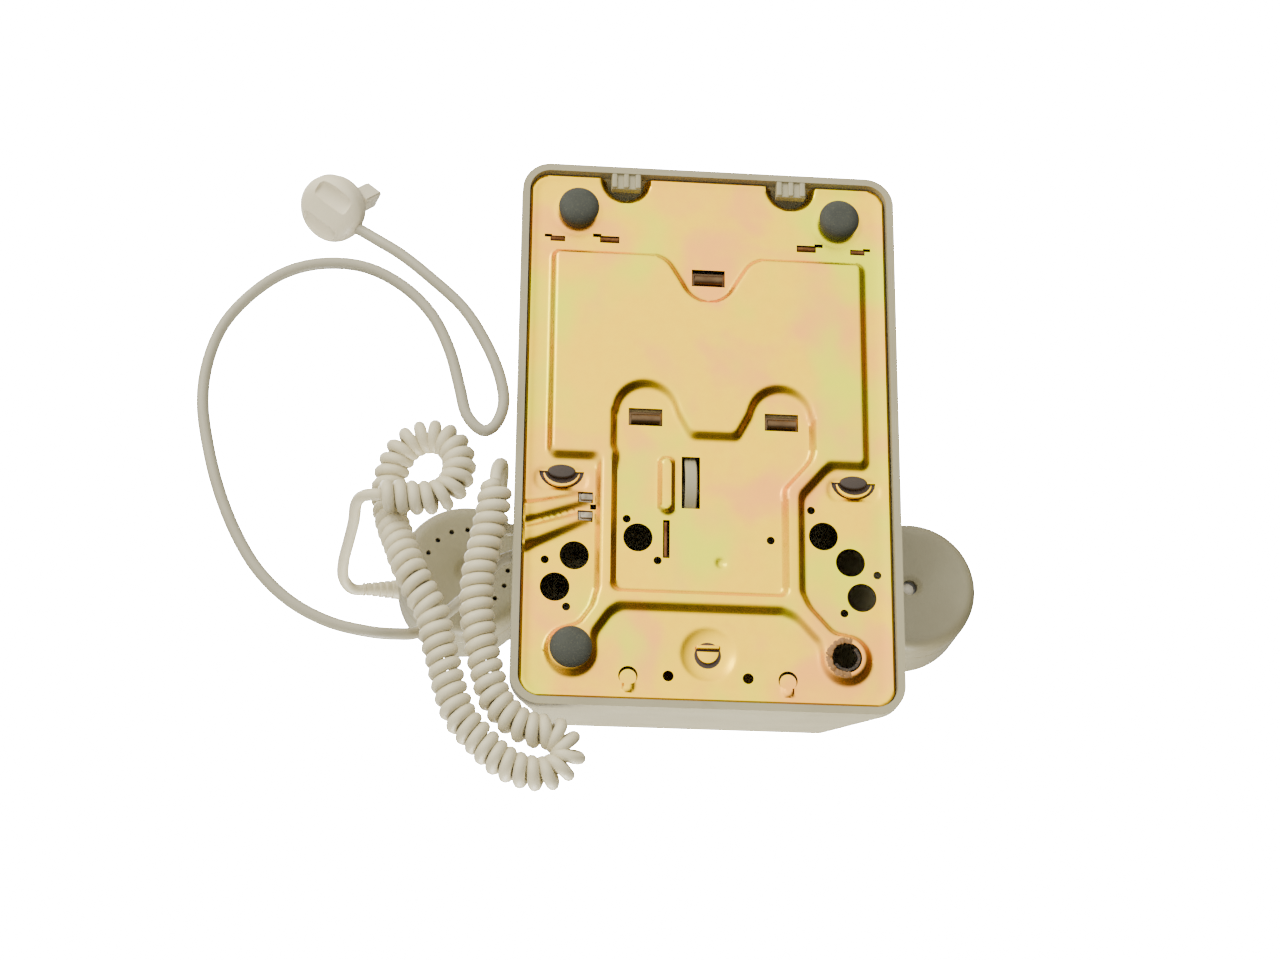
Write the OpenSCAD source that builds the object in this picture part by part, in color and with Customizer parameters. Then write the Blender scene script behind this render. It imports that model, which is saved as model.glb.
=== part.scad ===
// Corded table telephone with a rotary dial, a handset in its cradle, a coiled
// handset cord and a line cord with a round plug. Millimetres, +Z up, front at -Y,
// standing on its feet, with the origin on the table under the middle of the body.

/* [Housing] */
// Width of the housing at its lower rim
body_w = 143; // [134:1:146]
// Length of the housing at its lower rim
body_l = 213; // [204:0.5:216]
// Height of the rim above the table
rim_z = 5; // [4:0.5:6]
// Corner radius of the rim
corner_r = 11; // [10:1:16]
// Thickness of the moulded wall
wall = 3.2; // [2.6:0.2:4]
// Radius of the upper edges
edge_r = 9; // [7:1:10]
// How far each side leans in at the height of the deck
side_lean = 14; // [13.5:0.5:15.5]
// How far the nose stands back from the front rim
nose_lean = 7.25; // [5.25:1:11.25]
// Height of the nose
nose_h = 28; // [27:1:31]
// How far the rear wall leans in
rear_lean = 10; // [8:1:14]
// Height of the deck that carries the cradle
deck_h = 83; // [82:1:86]
// Front edge of the deck
deck_front = -1; // [-3:1:2]
// Width of each ribbed lug at the front of the housing
lug_w = 11.4; // [9:0.2:13]
// Depth of each ribbed lug
lug_l = 6.6; // [5:0.2:7]
// Distance of each ribbed lug from the middle
lug_x = 31.8; // [29:0.2:34]

/* [Cradle] */
// Distance of each saddle from the middle
cradle_x = 46; // [44:1:48]
// Width of each saddle
cradle_w = 15; // [14:1:16]
// Height of the bottom of the saddle above the deck
saddle_rise = 7; // [6:0.5:9]
// Radius of the saddle
saddle_r = 16; // [15.5:0.5:17]
// Height of the horns above the deck
horn_rise = 20; // [18:1:21]
// Length of a saddle block at its foot
horn_foot = 52; // [48:1:56]
// Length of a saddle block over its horns
horn_top = 40; // [39:1:44]

/* [Base plate] */
// Thickness of the sheet
plate_t = 1.2; // [1:0.1:1.5]
// Height of its outer face above the table
plate_z = 8; // [7.5:0.5:9]
// Gap between the sheet and the housing
plate_gap = 0.8; // [0.6:0.1:1.4]
// Depth of the embossed relief
emboss_h = 3; // [2:0.25:3]
// Half width of the large platform
platform_x = 59; // [56:0.5:60]
// How far the platform stands behind the front rim
platform_inset = 35.5; // [34.25:0.25:38.25]
// Rear edge of the platform
platform_rear = 12.8; // [12:0.2:14]
// Width of the ribs
rib_w = 6; // [5:0.25:7]
// Radius of the large round holes
hole_r = 5; // [4:0.25:5.5]
// Radius of the small round holes
pin_hole_r = 1.3; // [1:0.1:1.6]
// Radius of the two plain holes at the rear
fix_hole_r = 2; // [1.5:0.1:2.5]
// Spacing of the two plain holes
fix_span = 29; // [27:0.5:31]
// How far the plain holes stand ahead of the rear rim
fix_inset = 12.5; // [12.25:0.25:14.25]
// Length of the slots for the clips
clip_slot_l = 12.6; // [11:0.2:14]
// Width of the slots for the clips
clip_slot_w = 6.8; // [6:0.2:8]

/* [Feet] */
// Radius of a foot
foot_r = 7.9; // [7:0.1:8]
// Radius of the stem that holds a foot
foot_stem_r = 5.2; // [4.5:0.1:5.5]
// Distance of the feet from the middle
foot_x = 50; // [48:0.5:51]
// How far the front feet stand behind the front rim
front_inset = 18.5; // [18.25:0.25:21.25]
// How far the rear feet stand ahead of the rear rim
rear_inset = 20.8; // [20.25:0.05:23.25]

/* [Handset] */
// Spacing of the two cups
cup_span = 173.8; // [172:0.2:180]
// Radius of a cup
cup_r = 26.2; // [24:0.2:26.2]
// How far the faces of the caps hang below the saddles
face_drop = 24; // [22:0.5:26]
// Depth of a cap
cap_h = 12; // [11:0.5:13]
// How far the tops of the cups stand above the saddles
cup_rise = 19.5; // [19:0.5:21]
// Thickness of the handset shell
shell_t = 2.6; // [2:0.2:3]
// How far the handset lies behind the middle
handset_y = 38; // [37:0.5:39]
// Width of the handle
grip_w = 26; // [24:0.5:27]
// Height of the handle
grip_h = 20; // [18:0.5:20]
// Gap between the handle and its saddles
rest_gap = 0.3; // [0.2:0.1:0.5]

/* [Dial] */
// Radius of the finger wheel
wheel_r = 36.8; // [35:0.2:37]
// Thickness of the finger wheel
wheel_t = 2.2; // [1.8:0.2:3]
// Height of the finger wheel above the face
wheel_z = 4.2; // [4:0.2:5]
// Radius of the finger holes
finger_r = 6.4; // [6:0.1:6.8]
// Radius of the circle of finger holes
finger_ring_r = 27.5; // [26.5:0.25:28.5]
// Radius of the number plate
number_r = 39.5; // [39:0.25:40]
// Radius of the dial case
case_r = 33; // [32:0.5:34]
// Depth of the dial case
case_h = 24; // [23:0.5:25]
// Radius of the dial shaft
shaft_r = 3; // [2.5:0.25:3.5]
// Teeth of the main gear
gear_teeth = 60; // [60:10:60]
// Teeth of the governor pinion
pinion_teeth = 10; // [10:1:10]
// Pitch of the teeth, in millimetres of pitch diameter for each tooth
tooth_module = 0.6; // [0.55:0.05:0.65]
// Clearance of a running fit, on the radius
running_gap = 0.06; // [0.04:0.01:0.1]

/* [Works] */
// Radius of the ringer gongs
gong_r = 15; // [14:0.5:15]
// Distance of each gong from the middle
gong_x = 19; // [18.5:0.5:21]
// How far the gongs stand ahead of the rear rim
gong_inset = 31.5; // [30.25:0.25:34.25]
// Height of the gongs
gong_z = 42; // [40:0.5:44]
// Radius of the volume wheel
volume_r = 13; // [12:0.25:13.5]
// How far the volume wheel stands below the plate
volume_drop = 2.3; // [1.5:0.1:2.6]
// Thickness of the circuit board
board_t = 1.6; // [1.2:0.2:2]
// Height of the circuit board above the table
board_z = 10; // [9.5:0.5:11]

/* [Cords] */
// Diameter of the straight cord
cord_d = 4.5; // [4:0.1:5]
// Outer diameter of the coiled cord
coil_d = 13; // [12:0.5:13]
// Height at which the cords leave the housing
exit_z = 15.5; // [15:0.25:16.5]
// How far behind the middle the coiled cord leaves
exit_coil_y = 38.5; // [37:0.5:40]
// How far behind the middle the line cord leaves
exit_line_y = 48; // [47:0.5:50]

/* [Plug] */
// Radius of the round body of the plug
plug_r = 13; // [12:0.5:14]
// Depth of the body of the plug
plug_h = 12; // [10:0.5:14]
// Length of the blades
blade_l = 12; // [10:0.5:14]
// Side of the square guide peg
peg_w = 7.5; // [6:0.25:8]
// Length of the guide peg
peg_l = 11; // [9:0.5:13]

/* [Hidden] */

// Facets of true rounds, and of the rounds inside a hull
fine = 96;
coarse = 32;
// A little more than nothing, for cuts that have to break through
eps = 0.5;

half_w = body_w / 2;
half_l = body_l / 2;
saddle_z = deck_h + saddle_rise;
horn_z = deck_h + horn_rise;
face_z = saddle_z - face_drop;
cup_top_z = saddle_z + cup_rise;
foot_front_y = -half_l + front_inset;
foot_rear_y = half_l - rear_inset;
platform_front = -half_l + platform_inset;
gong_y = half_l - gong_inset;
deck_z = deck_h - edge_r;
nose_z = nose_h - edge_r;
nose_y = -half_l + nose_lean + edge_r;
deck_y = deck_front + edge_r;
rear_y = half_l - rear_lean - edge_r;
slope = atan2(deck_z - nose_z, deck_y - nose_y);
// Half width of the housing at height z
function half_w_at(z) = half_w - side_lean * (z - rim_z) / (deck_h - rim_z);

// The dial sits in the middle of the sloping face, on its surface
dial_y = (nose_y + deck_y) / 2 - edge_r * sin(slope);
dial_z = (nose_z + deck_z) / 2 + edge_r * cos(slope);
module at_dial() translate([0, dial_y, dial_z]) rotate([slope, 0, 0]) children();

floor_z = plate_z + plate_t;
pan_floor_z = floor_z - emboss_h;
plate_x = half_w - wall - plate_gap;
plate_y = half_l - wall - plate_gap;
plate_corner_r = corner_r - wall - plate_gap;

// ---------- shared shapes ----------

module rounded_rect(w, l, r) {
    square([w - 2 * r, l], center = true);
    square([w, l - 2 * r], center = true);
    for (x = [-1, 1], y = [-1, 1])
        translate([x * (w / 2 - r), y * (l / 2 - r)]) circle(r, $fn = fine);
}

module stadium(l, w) {
    square([l - w, w], center = true);
    for (x = [-1, 1]) translate([x * (l - w) / 2, 0]) circle(w / 2, $fn = fine);
}

module slab(x0, x1, y0, y1, z0, z1) translate([x0, y0, z0]) cube([x1 - x0, y1 - y0, z1 - z0]);

module disc(r, z0, z1) translate([0, 0, z0]) cylinder(h = z1 - z0, r = r, $fn = fine);

module ring(r_out, r_in, z0, z1) difference() {
    disc(r_out, z0, z1);
    disc(r_in, z0 - eps, z1 + eps);
}

// Points of a smooth curve through pts, with n steps in each stretch
function curve_point(a, b, c, d, t) = 0.5 * (2 * b + (c - a) * t
    + (2 * a - 5 * b + 4 * c - d) * t * t + (3 * b - a - 3 * c + d) * t * t * t);
function smooth_path(pts, n) = [for (i = [0 : len(pts) - 2], k = [0 : n - 1])
    curve_point(pts[max(i - 1, 0)], pts[i], pts[i + 1], pts[min(i + 2, len(pts) - 1)], k / n),
    pts[len(pts) - 1]];

function unit(v) = v / norm(v);
function tangent(p, i) = unit(p[min(i + 1, len(p) - 1)] - p[max(i - 1, 0)]);

// A round tube of radius r along path; up is a direction that the path never follows
module tube(path, r, sides, up = [0, 0, 1]) {
    n = len(path);
    points = [for (i = [0 : n - 1]) let (t = tangent(path, i), s = unit(cross(t, up)), u = cross(s, t))
        for (k = [0 : sides - 1]) let (a = 360 * k / sides) path[i] + r * (cos(a) * s + sin(a) * u)];
    quads = [for (i = [0 : n - 2], k = [0 : sides - 1]) let (j = (k + 1) % sides)
        [i * sides + k, i * sides + j, (i + 1) * sides + j, (i + 1) * sides + k]];
    first = [for (k = [0 : sides - 1]) sides - 1 - k];
    last = [for (k = [0 : sides - 1]) (n - 1) * sides + k];
    polyhedron(points, concat(quads, [first, last]), convexity = 10);
}

// A flat gear with straight-flanked teeth; the first tooth points along +X
module gear_2d(teeth, module_size, tip, root) {
    pitch_r = teeth * module_size / 2;
    step = 360 / teeth;
    polygon([for (i = [0 : teeth - 1], c = [[-0.24, -root], [-0.1, tip], [0.1, tip], [0.24, -root]])
        let (a = step * (i + c[0]), r = pitch_r + c[1]) r * [cos(a), sin(a)]]);
}

// ---------- housing ----------

// The outer form, or the hollow inside it when inset is the wall
module body_form(inset) {
    foot_h = 6;
    hull() {
        translate([0, 0, inset > 0 ? rim_z - eps : rim_z]) linear_extrude(foot_h)
            for (x = [-1, 1], y = [-1, 1])
                translate([x * (half_w - corner_r), y * (half_l - corner_r)])
                    circle(corner_r - inset, $fn = coarse);
        for (x = [-1, 1]) {
            translate([x * (half_w_at(nose_z) - edge_r), nose_y, nose_z])
                sphere(edge_r - inset, $fn = coarse);
            translate([x * (half_w_at(deck_z) - edge_r), deck_y, deck_z])
                sphere(edge_r - inset, $fn = coarse);
            translate([x * (half_w_at(deck_z) - edge_r), rear_y, deck_z])
                sphere(edge_r - inset, $fn = coarse);
        }
    }
}

// One saddle block of the cradle, with its two horns
module saddle() {
    sink = 1.6;
    translate([-cradle_w / 2, handset_y, 0]) rotate([90, 0, 90]) linear_extrude(cradle_w) difference() {
        polygon([[-horn_foot / 2, deck_h - sink], [horn_foot / 2, deck_h - sink],
            [horn_top / 2, horn_z], [-horn_top / 2, horn_z]]);
        translate([0, saddle_z + saddle_r]) circle(saddle_r, $fn = fine);
    }
}

plunger_w = 8;
plunger_l = 7;
plunger_gap = 0.4;

module housing() color("#c9c5b5") {
    difference() {
        union() {
            body_form(0);
            for (x = [-1, 1]) translate([x * cradle_x, 0, 0]) saddle();
        }
        body_form(wall);
        at_dial() translate([0, 0, -case_h]) cylinder(h = 2 * case_h, r = case_r + eps, $fn = fine);
        for (x = [-1, 1]) translate([x * cradle_x - plunger_w / 2 - plunger_gap,
            handset_y - plunger_l / 2 - plunger_gap, deck_h - 2 * edge_r])
            cube([plunger_w + 2 * plunger_gap, plunger_l + 2 * plunger_gap, 4 * edge_r]);
        for (y = [exit_coil_y, exit_line_y]) translate([-half_w - eps, y, exit_z])
            rotate([0, 90, 0]) cylinder(h = side_lean, r = grommet_r, $fn = fine);
    }
    for (x = [-1, 1]) ribbed_lug(x * lug_x);
}

// A lug of the housing that holds the front of the base plate
module ribbed_lug(x) {
    rib = 1.1;
    lug_y = -half_l + wall - eps;
    slab(x - lug_w / 2, x + lug_w / 2, lug_y, lug_y + lug_l, rim_z + rib, floor_z + 4);
    for (i = [-2 : 2]) slab(x + i * lug_w / 5.4 - rib / 2, x + i * lug_w / 5.4 + rib / 2,
        lug_y, lug_y + lug_l, rim_z + 0.2, rim_z + rib + eps);
}

grommet_r = 3.4;

module cord_grommets() color("#b9b5a5") for (y = [exit_coil_y, exit_line_y])
    translate([-half_w_at(exit_z), y, exit_z]) rotate([0, 90, 0]) {
        ring(grommet_r, cord_d / 2, -0.2, wall + 1.2);
        ring(grommet_r + 1.1, cord_d / 2, wall + 0.6, wall + 2);
    }

// ---------- base plate ----------

// Large and small round holes, measured from the rear rim
big_holes = [[-26.3, -64.75], [-49.5, -57], [-56.4, -44.75], [42.3, -67.85], [52.2, -58], [56.2, -44.75]];
small_holes = [[-30.5, -71.75], [-19, -56.25], [-60.2, -55], [-52.1, -37.4],
    [37.8, -77.75], [22.7, -65.5], [62.1, -53.6], [49.6, -38.6], [-43.3, -74.9]];
// Slots that hold the dark clips
clip_slots = [[0, platform_front + 8.3], [-23.5, -5.2], [27.5, -5.2]];
// Slots that hold the dark buttons
button_slots = [[-54.3, 18.4], [54.3, 18.4]];
button_slot_l = 16.6;
button_slot_w = 7.6;
// Arched bays in the rear edge of the platform
bay_r = 14.8;
bays = [-19.9, 24.6];
bay_y = -4;
// Inner sides of the two long ribs
rib_left = -35;
rib_right = 28.2;
rib_front = half_l - 43.95;
rib_rear = half_l - 35.45;
rib_right_front = 21;
// The volume wheel stands in its own slot
volume_x = -6.5;
volume_y = 20;
volume_slot_w = 6.8;
volume_slot_l = 20.2;
boss_r = 8.3;
notch_r = 8.6;
// The catch stands in its own hole at the rear
catch_inset = 20.95;
catch_hole_r = 4.3;

module plate_outline() difference() {
    rounded_rect(2 * plate_x, 2 * plate_y, plate_corner_r);
    for (x = [-1, 1]) translate([x * lug_x, -plate_y]) circle(notch_r, $fn = fine);
}

// A straight rib between two points
module rib(a, b, w) polygon([for (s = [[0, 1], [1, 1], [1, -1], [0, -1]])
    let (d = unit(b - a)) (s[0] == 0 ? a : b) + s[1] * w / 2 * [-d[1], d[0]]]);

module relief_outline() {
    difference() {
        translate([-platform_x, platform_front]) square([2 * platform_x, platform_rear - platform_front]);
        translate([0, platform_front]) circle(17.4, $fn = fine);
        for (x = bays) {
            translate([x, bay_y]) circle(bay_r, $fn = fine);
            translate([x - bay_r, bay_y]) square([2 * bay_r, 40]);
        }
        translate([bays[0], 3]) square([bays[1] - bays[0], 40]);
    }
    translate([rib_left - rib_w, platform_rear - eps]) square([rib_w, rib_rear - platform_rear]);
    translate([rib_right, rib_right_front]) square([rib_w, rib_rear - rib_right_front - 1]);
    rib([rib_right + rib_w / 2 + 0.2, rib_right_front + 2],
        [bays[1] + bay_r + rib_w / 2 - 1, platform_rear - 3], rib_w);
    translate([rib_left - 1, rib_front]) square([rib_right - rib_left + 2, rib_rear - rib_front]);
    rib([rib_left, rib_rear - 5], [-foot_x, foot_rear_y], rib_w);
    rib([rib_right, rib_rear - 6], [foot_x, foot_rear_y], rib_w);
    for (x = [-1, 1]) translate([x * foot_x, foot_rear_y]) circle(boss_r, $fn = fine);
    for (y = [exit_coil_y - 3.6, exit_line_y - 2.3]) rib([-plate_x + 2, y], [-46, y - 8], 7.4);
    translate([-15.7, 22.1]) rotate([0, 0, 90]) stadium(22.8, 6.4);
}

module plate_cuts() {
    translate([0, half_l]) {
        for (p = big_holes) translate(p) circle(hole_r, $fn = fine);
        for (p = small_holes) translate(p) circle(pin_hole_r, $fn = fine);
        for (x = [-1, 1]) translate([x * fix_span / 2, -fix_inset]) circle(fix_hole_r, $fn = fine);
        for (x = [-1, 1]) translate([x * 29, -11.85]) square([5.4, 6], center = true);
        translate([-15.4, -64.25]) square([2.7, 14.6], center = true);
        translate([0, -catch_inset]) circle(catch_hole_r, $fn = fine);
    }
    for (p = clip_slots) translate(p) square([clip_slot_l, clip_slot_w], center = true);
    for (p = button_slots) translate(p) stadium(button_slot_l, button_slot_w);
    for (x = [-1, 1]) {
        translate([x * 58.9, platform_front - 6]) square([7.2, 2.2], center = true);
        translate([x * 39.3, platform_front - 7.2]) square([9.6, 2.2], center = true);
        for (y = [foot_front_y, foot_rear_y]) translate([x * foot_x, y])
            circle(foot_stem_r + 0.1, $fn = fine);
    }
    translate([volume_x, volume_y]) square([volume_slot_w, volume_slot_l], center = true);
}

module base_plate() color("#e3c466") difference() {
    union() {
        translate([0, 0, plate_z]) linear_extrude(plate_t) plate_outline();
        translate([0, 0, plate_z - emboss_h]) linear_extrude(emboss_h + plate_t / 2) relief_outline();
    }
    translate([0, 0, pan_floor_z]) linear_extrude(emboss_h + plate_t)
        offset(delta = -plate_t) relief_outline();
    translate([0, 0, plate_z - emboss_h - eps]) linear_extrude(emboss_h + plate_t + 2 * eps) plate_cuts();
}

// A domed rubber foot whose seat is at height seat_z
module foot(seat_z) {
    rotate_extrude($fn = fine) polygon([[0, 0], [foot_r - 2.4, 0], [foot_r - 0.9, 0.5], [foot_r - 0.1, 1.8],
        [foot_r, 3], [foot_r, seat_z], [foot_stem_r, seat_z], [foot_stem_r, seat_z + plate_t],
        [foot_stem_r - 0.6, seat_z + plate_t + 2.2], [0, seat_z + plate_t + 2.2]]);
}

module rubber_feet() color("#4b4d47") {
    for (x = [-1, 1]) translate([x * foot_x, foot_front_y, 0]) foot(plate_z);
    translate([-foot_x, foot_rear_y, 0]) foot(plate_z - emboss_h);
}

// What is left of the foot that came away
module torn_foot() color("#3c3b35") translate([foot_x, foot_rear_y, pan_floor_z - plate_t])
    rotate([0, 0, 150]) rotate_extrude(angle = 200, $fn = fine)
        polygon([[foot_stem_r - 1.4, 0.2], [foot_stem_r, 0.2], [foot_stem_r, plate_t + 1.4],
            [foot_stem_r - 0.9, plate_t + 1.4]]);

clip_drop = 1.3;
module plate_clips() color("#4a4238") for (p = clip_slots) translate([p[0], p[1], plate_z]) {
    slab(-clip_slot_l / 2 + 1, clip_slot_l / 2 - 1, -1.9, 1.9, -clip_drop, plate_t);
    slab(-clip_slot_l / 2 - 1.4, clip_slot_l / 2 + 1.4, -2.6, 2.6, plate_t, plate_t + 0.5);
}

module plate_buttons() color("#3a3936") for (p = button_slots) translate([p[0], p[1], 0]) {
    translate([0, 0, plate_z - 0.8]) linear_extrude(plate_t + 0.8) stadium(10.4, 5.2);
    translate([0, 0, floor_z]) linear_extrude(1.4) stadium(button_slot_l + 3, button_slot_w + 2.4);
}

module housing_catch() color("#b9b5a5") translate([0, half_l - catch_inset, 0]) {
    disc(catch_hole_r - 0.7, plate_z - 0.9, floor_z);
    disc(6.5, floor_z, floor_z + 1.5);
    disc(2.6, floor_z + 1, floor_z + 9);
}

// Bright clamps that grip the two cords where their channels end
clamp_w = 5.2;
clamp_l = 4.4;
module cord_clamps() color("#c8c8c4") for (y = [exit_coil_y - 10.6, exit_line_y - 13.1])
    translate([-45.5, y - clamp_l / 2, 0]) {
        slab(-clamp_w / 2, clamp_w / 2, 0, clamp_l, floor_z, floor_z + 4.5);
        slab(-clamp_w / 2, -clamp_w / 2 + 1, 0, clamp_l, floor_z + 4, floor_z + 7);
        slab(clamp_w / 2 - 1, clamp_w / 2, 0, clamp_l, floor_z + 4, floor_z + 7);
    }

// ---------- volume wheel ----------

volume_z = plate_z - volume_drop + volume_r;
volume_t = 4.4;
axle_r = 1.5;
cheek_t = 1.6;
cheek_x = volume_slot_w / 2 + 1;

module volume_wheel() color("#c9c5b5") translate([volume_x, volume_y, volume_z]) rotate([0, 90, 0])
    difference() {
        union() {
            disc(volume_r - 0.5, -volume_t / 2, volume_t / 2);
            for (a = [0 : 15 : 345]) rotate([0, 0, a]) translate([volume_r - 0.9, 0, 0])
                slab(0, 0.9, -0.7, 0.7, -volume_t / 2, volume_t / 2);
        }
        disc(axle_r + running_gap, -volume_t, volume_t);
    }

module volume_axle() color("#a8a8a4") translate([volume_x, volume_y, volume_z]) rotate([0, 90, 0])
    disc(axle_r, -cheek_x - cheek_t - 1, cheek_x + cheek_t + 1);

module volume_bracket() color("#b0aea6") translate([volume_x, volume_y, 0]) for (s = [-1, 1])
    difference() {
        union() {
            slab(s > 0 ? cheek_x : -cheek_x - cheek_t, s > 0 ? cheek_x + cheek_t : -cheek_x,
                -4, 4, floor_z, volume_z + 4);
            slab(s > 0 ? cheek_x : -cheek_x - 3.2, s > 0 ? cheek_x + 3.2 : -cheek_x,
                -4, 4, floor_z, floor_z + 1.2);
        }
        translate([0, 0, volume_z]) rotate([0, 90, 0]) disc(axle_r, -20, 20);
    }

// ---------- circuit ----------

board_x = 52;
board_front = platform_front + 7;
board_rear = 8;
post_inset = 5;
post_at = [for (x = [-1, 1], y = [board_front + post_inset, board_rear - post_inset])
    [x * (board_x - post_inset), y]];
post_r = 2.6;
post_tip_r = 1.3;

module circuit_board() color("#8a7a45") difference() {
    slab(-board_x, board_x, board_front, board_rear, board_z, board_z + board_t);
    for (p = post_at) translate([p[0], p[1], 0])
        disc(post_tip_r + 0.1, board_z - eps, board_z + board_t + eps);
}

module board_posts() color("#b0aea6") for (p = post_at) translate([p[0], p[1], 0]) {
    disc(post_r, pan_floor_z, board_z);
    disc(post_tip_r, board_z - eps, board_z + board_t + 1);
}

board_top = board_z + board_t;

bobbin_w = 24;
bobbin_l = 18;
bobbin_h = 20;
flange_t = 2.5;
module induction_coil() color("#7d5a35") translate([-34, board_rear - bobbin_l + 3, board_top]) {
    for (z = [0, bobbin_h - flange_t]) translate([-bobbin_w / 2, -bobbin_l / 2, z])
        cube([bobbin_w, bobbin_l, flange_t]);
    translate([-bobbin_w / 2 + 2, -bobbin_l / 2 + 3, flange_t / 2])
        cube([bobbin_w - 4, bobbin_l - 6, bobbin_h - flange_t]);
}

capacitor_r = 6.5;
capacitor_l = 28;
module capacitor() color("#c9a14a") translate([34, -6, board_top + capacitor_r]) rotate([0, 90, 0])
    disc(capacitor_r, -capacitor_l / 2, capacitor_l / 2);

terminal_w = 28;
terminal_h = 9;
terminal_r = 1.5;
module terminal_block() color("#d8d2bc") difference() {
    slab(-terminal_w / 2, terminal_w / 2, -4, 5, board_top, board_top + terminal_h);
    for (i = [-2 : 2]) translate([i * terminal_w / 5.4, 0.5, 0])
        disc(terminal_r, board_top + 2, board_top + terminal_h + eps);
}

// ---------- ringer ----------

bridge_z = 20;
bridge_t = 2;
bridge_x = 34;
bridge_l = 18;
leg_l = 11;
toe = 5;
coil_x = 9;
coil_y = gong_y + 6;
coil_h = 14;
hammer_l = 15;
pivot_y = gong_y - hammer_l;
pivot_r = 1.5;
gong_post_r = 3;
gong_bore_r = 1.9;
post_top = gong_z + 8;

module ringer_frame() color("#b8b8b0") difference() {
    union() {
        for (x = [-1, 1]) translate([x * (bridge_x - bridge_t / 2), gong_y + 3.5, 0]) {
            slab(-bridge_t / 2, bridge_t / 2, -leg_l / 2, leg_l / 2, floor_z, bridge_z + bridge_t);
            slab(x < 0 ? -toe : 0, x < 0 ? 0 : toe, -leg_l / 2, leg_l / 2, floor_z, floor_z + 1.6);
        }
        for (x = [-1, 1]) translate([x * gong_x, gong_y, 0]) disc(gong_post_r, bridge_z, post_top);
        slab(-bridge_x, bridge_x, gong_y - 5, gong_y - 5 + bridge_l, bridge_z, bridge_z + bridge_t);
        slab(-5, 5, pivot_y - 4, gong_y - 4, bridge_z, bridge_z + bridge_t);
    }
    for (x = [-1, 1]) translate([x * gong_x, gong_y, 0]) disc(gong_bore_r, post_top - 7, post_top + eps);
    translate([0, pivot_y, 0]) disc(pivot_r, bridge_z - eps, bridge_z + bridge_t + eps);
}

module ringer_coils() color("#8c3b22") for (x = [-1, 1]) translate([x * coil_x, coil_y, 0]) {
    for (z = [0, coil_h - 1.2]) disc(coil_x - 2.6, bridge_z + bridge_t + z, bridge_z + bridge_t + z + 1.2);
    disc(coil_x - 3.4, bridge_z + bridge_t + 1, bridge_z + bridge_t + coil_h - 1);
}

module gongs() color("#c9a85a") for (x = [-1, 1]) translate([x * gong_x, gong_y, gong_z])
    rotate_extrude($fn = fine) polygon([[gong_r, 0], [gong_r, 2.5], [gong_r - 1.4, 6], [gong_r - 5, 8.6],
        [6, 9.2], [2, 9.2], [2, 8], [5.6, 8], [gong_r - 5.6, 7.4], [gong_r - 2.5, 5.2],
        [gong_r - 1.2, 2.2], [gong_r - 1.2, 0]]);

module gong_screws() color("#a8a8a4") for (x = [-1, 1]) translate([x * gong_x, gong_y, 0]) difference() {
    union() {
        disc(gong_bore_r - 0.05, post_top - 6, gong_z + 9.4);
        disc(3.4, gong_z + 9.2, gong_z + 11);
    }
    slab(-4, 4, -0.4, 0.4, gong_z + 10.2, gong_z + 12);
}

hammer_r = 2.6;
module hammer() color("#9a9a94") translate([0, pivot_y, 0]) {
    ring(2 * pivot_r, pivot_r + running_gap, bridge_z + bridge_t + 0.2, gong_z + 3);
    slab(-0.8, 0.8, 1.5 * pivot_r, hammer_l - 1, gong_z + 0.6, gong_z + 2.2);
    translate([0, hammer_l, gong_z + 1.4]) sphere(hammer_r, $fn = fine);
}

module hammer_pivot() color("#a8a8a4") translate([0, pivot_y, 0]) {
    disc(pivot_r, bridge_z, gong_z + 4);
    disc(pivot_r + 0.9, gong_z + 3.2, gong_z + 4.4);
}

// ---------- hook switch ----------

bar_z = deck_h - 25.7;
bar_h = 4;
lever_x = 13;
pin_y = handset_y + 16;
pin_z = bar_z - 1.3;
cheek_w = 7;
pin_r = 1.5;
lever_gap = 0.3;

module cradle_plunger() color("#c9c5b5") {
    slab(-cradle_x - 3, cradle_x + 3, handset_y - 2.5, handset_y + 2.5, bar_z, bar_z + bar_h);
    for (x = [-1, 1]) translate([x * cradle_x, handset_y, 0]) {
        slab(-3, 3, -2.5, 2.5, bar_z, saddle_z - 6);
        slab(-plunger_w / 2, plunger_w / 2, -plunger_l / 2, plunger_l / 2, saddle_z - 9, saddle_z);
    }
}

module hook_bracket() color("#b8b8b0") difference() {
    union() {
        slab(lever_x - cheek_w, lever_x + cheek_w, pin_y + 3.5, pin_y + 5.5, floor_z, pin_z + 4);
        slab(lever_x - cheek_w, lever_x + cheek_w, pin_y - 5, pin_y + 5, floor_z, floor_z + cheek_t);
        for (x = [lever_x - cheek_w, lever_x + cheek_w - cheek_t])
            slab(x, x + cheek_t, pin_y - 3, pin_y + 5, pin_z - 5, pin_z + 4);
    }
    translate([0, pin_y, pin_z]) rotate([0, 90, 0]) disc(pin_r, 0, 2 * lever_x);
}

module lever_pin() color("#a8a8a4") translate([0, pin_y, pin_z]) rotate([0, 90, 0])
    disc(pin_r, lever_x - cheek_w - 1, lever_x + cheek_w + 1);

module hook_lever() color("#c8c8c4") difference() {
    union() {
        translate([0, pin_y, pin_z]) rotate([0, 90, 0]) disc(pin_r + 1.3, lever_x - 5, lever_x + 5);
        slab(lever_x - 3, lever_x + 3, handset_y - 1, pin_y, bar_z - lever_gap - 2, bar_z - lever_gap);
    }
    translate([0, pin_y, pin_z]) rotate([0, 90, 0]) disc(pin_r + running_gap, 0, 2 * lever_x);
}

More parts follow.
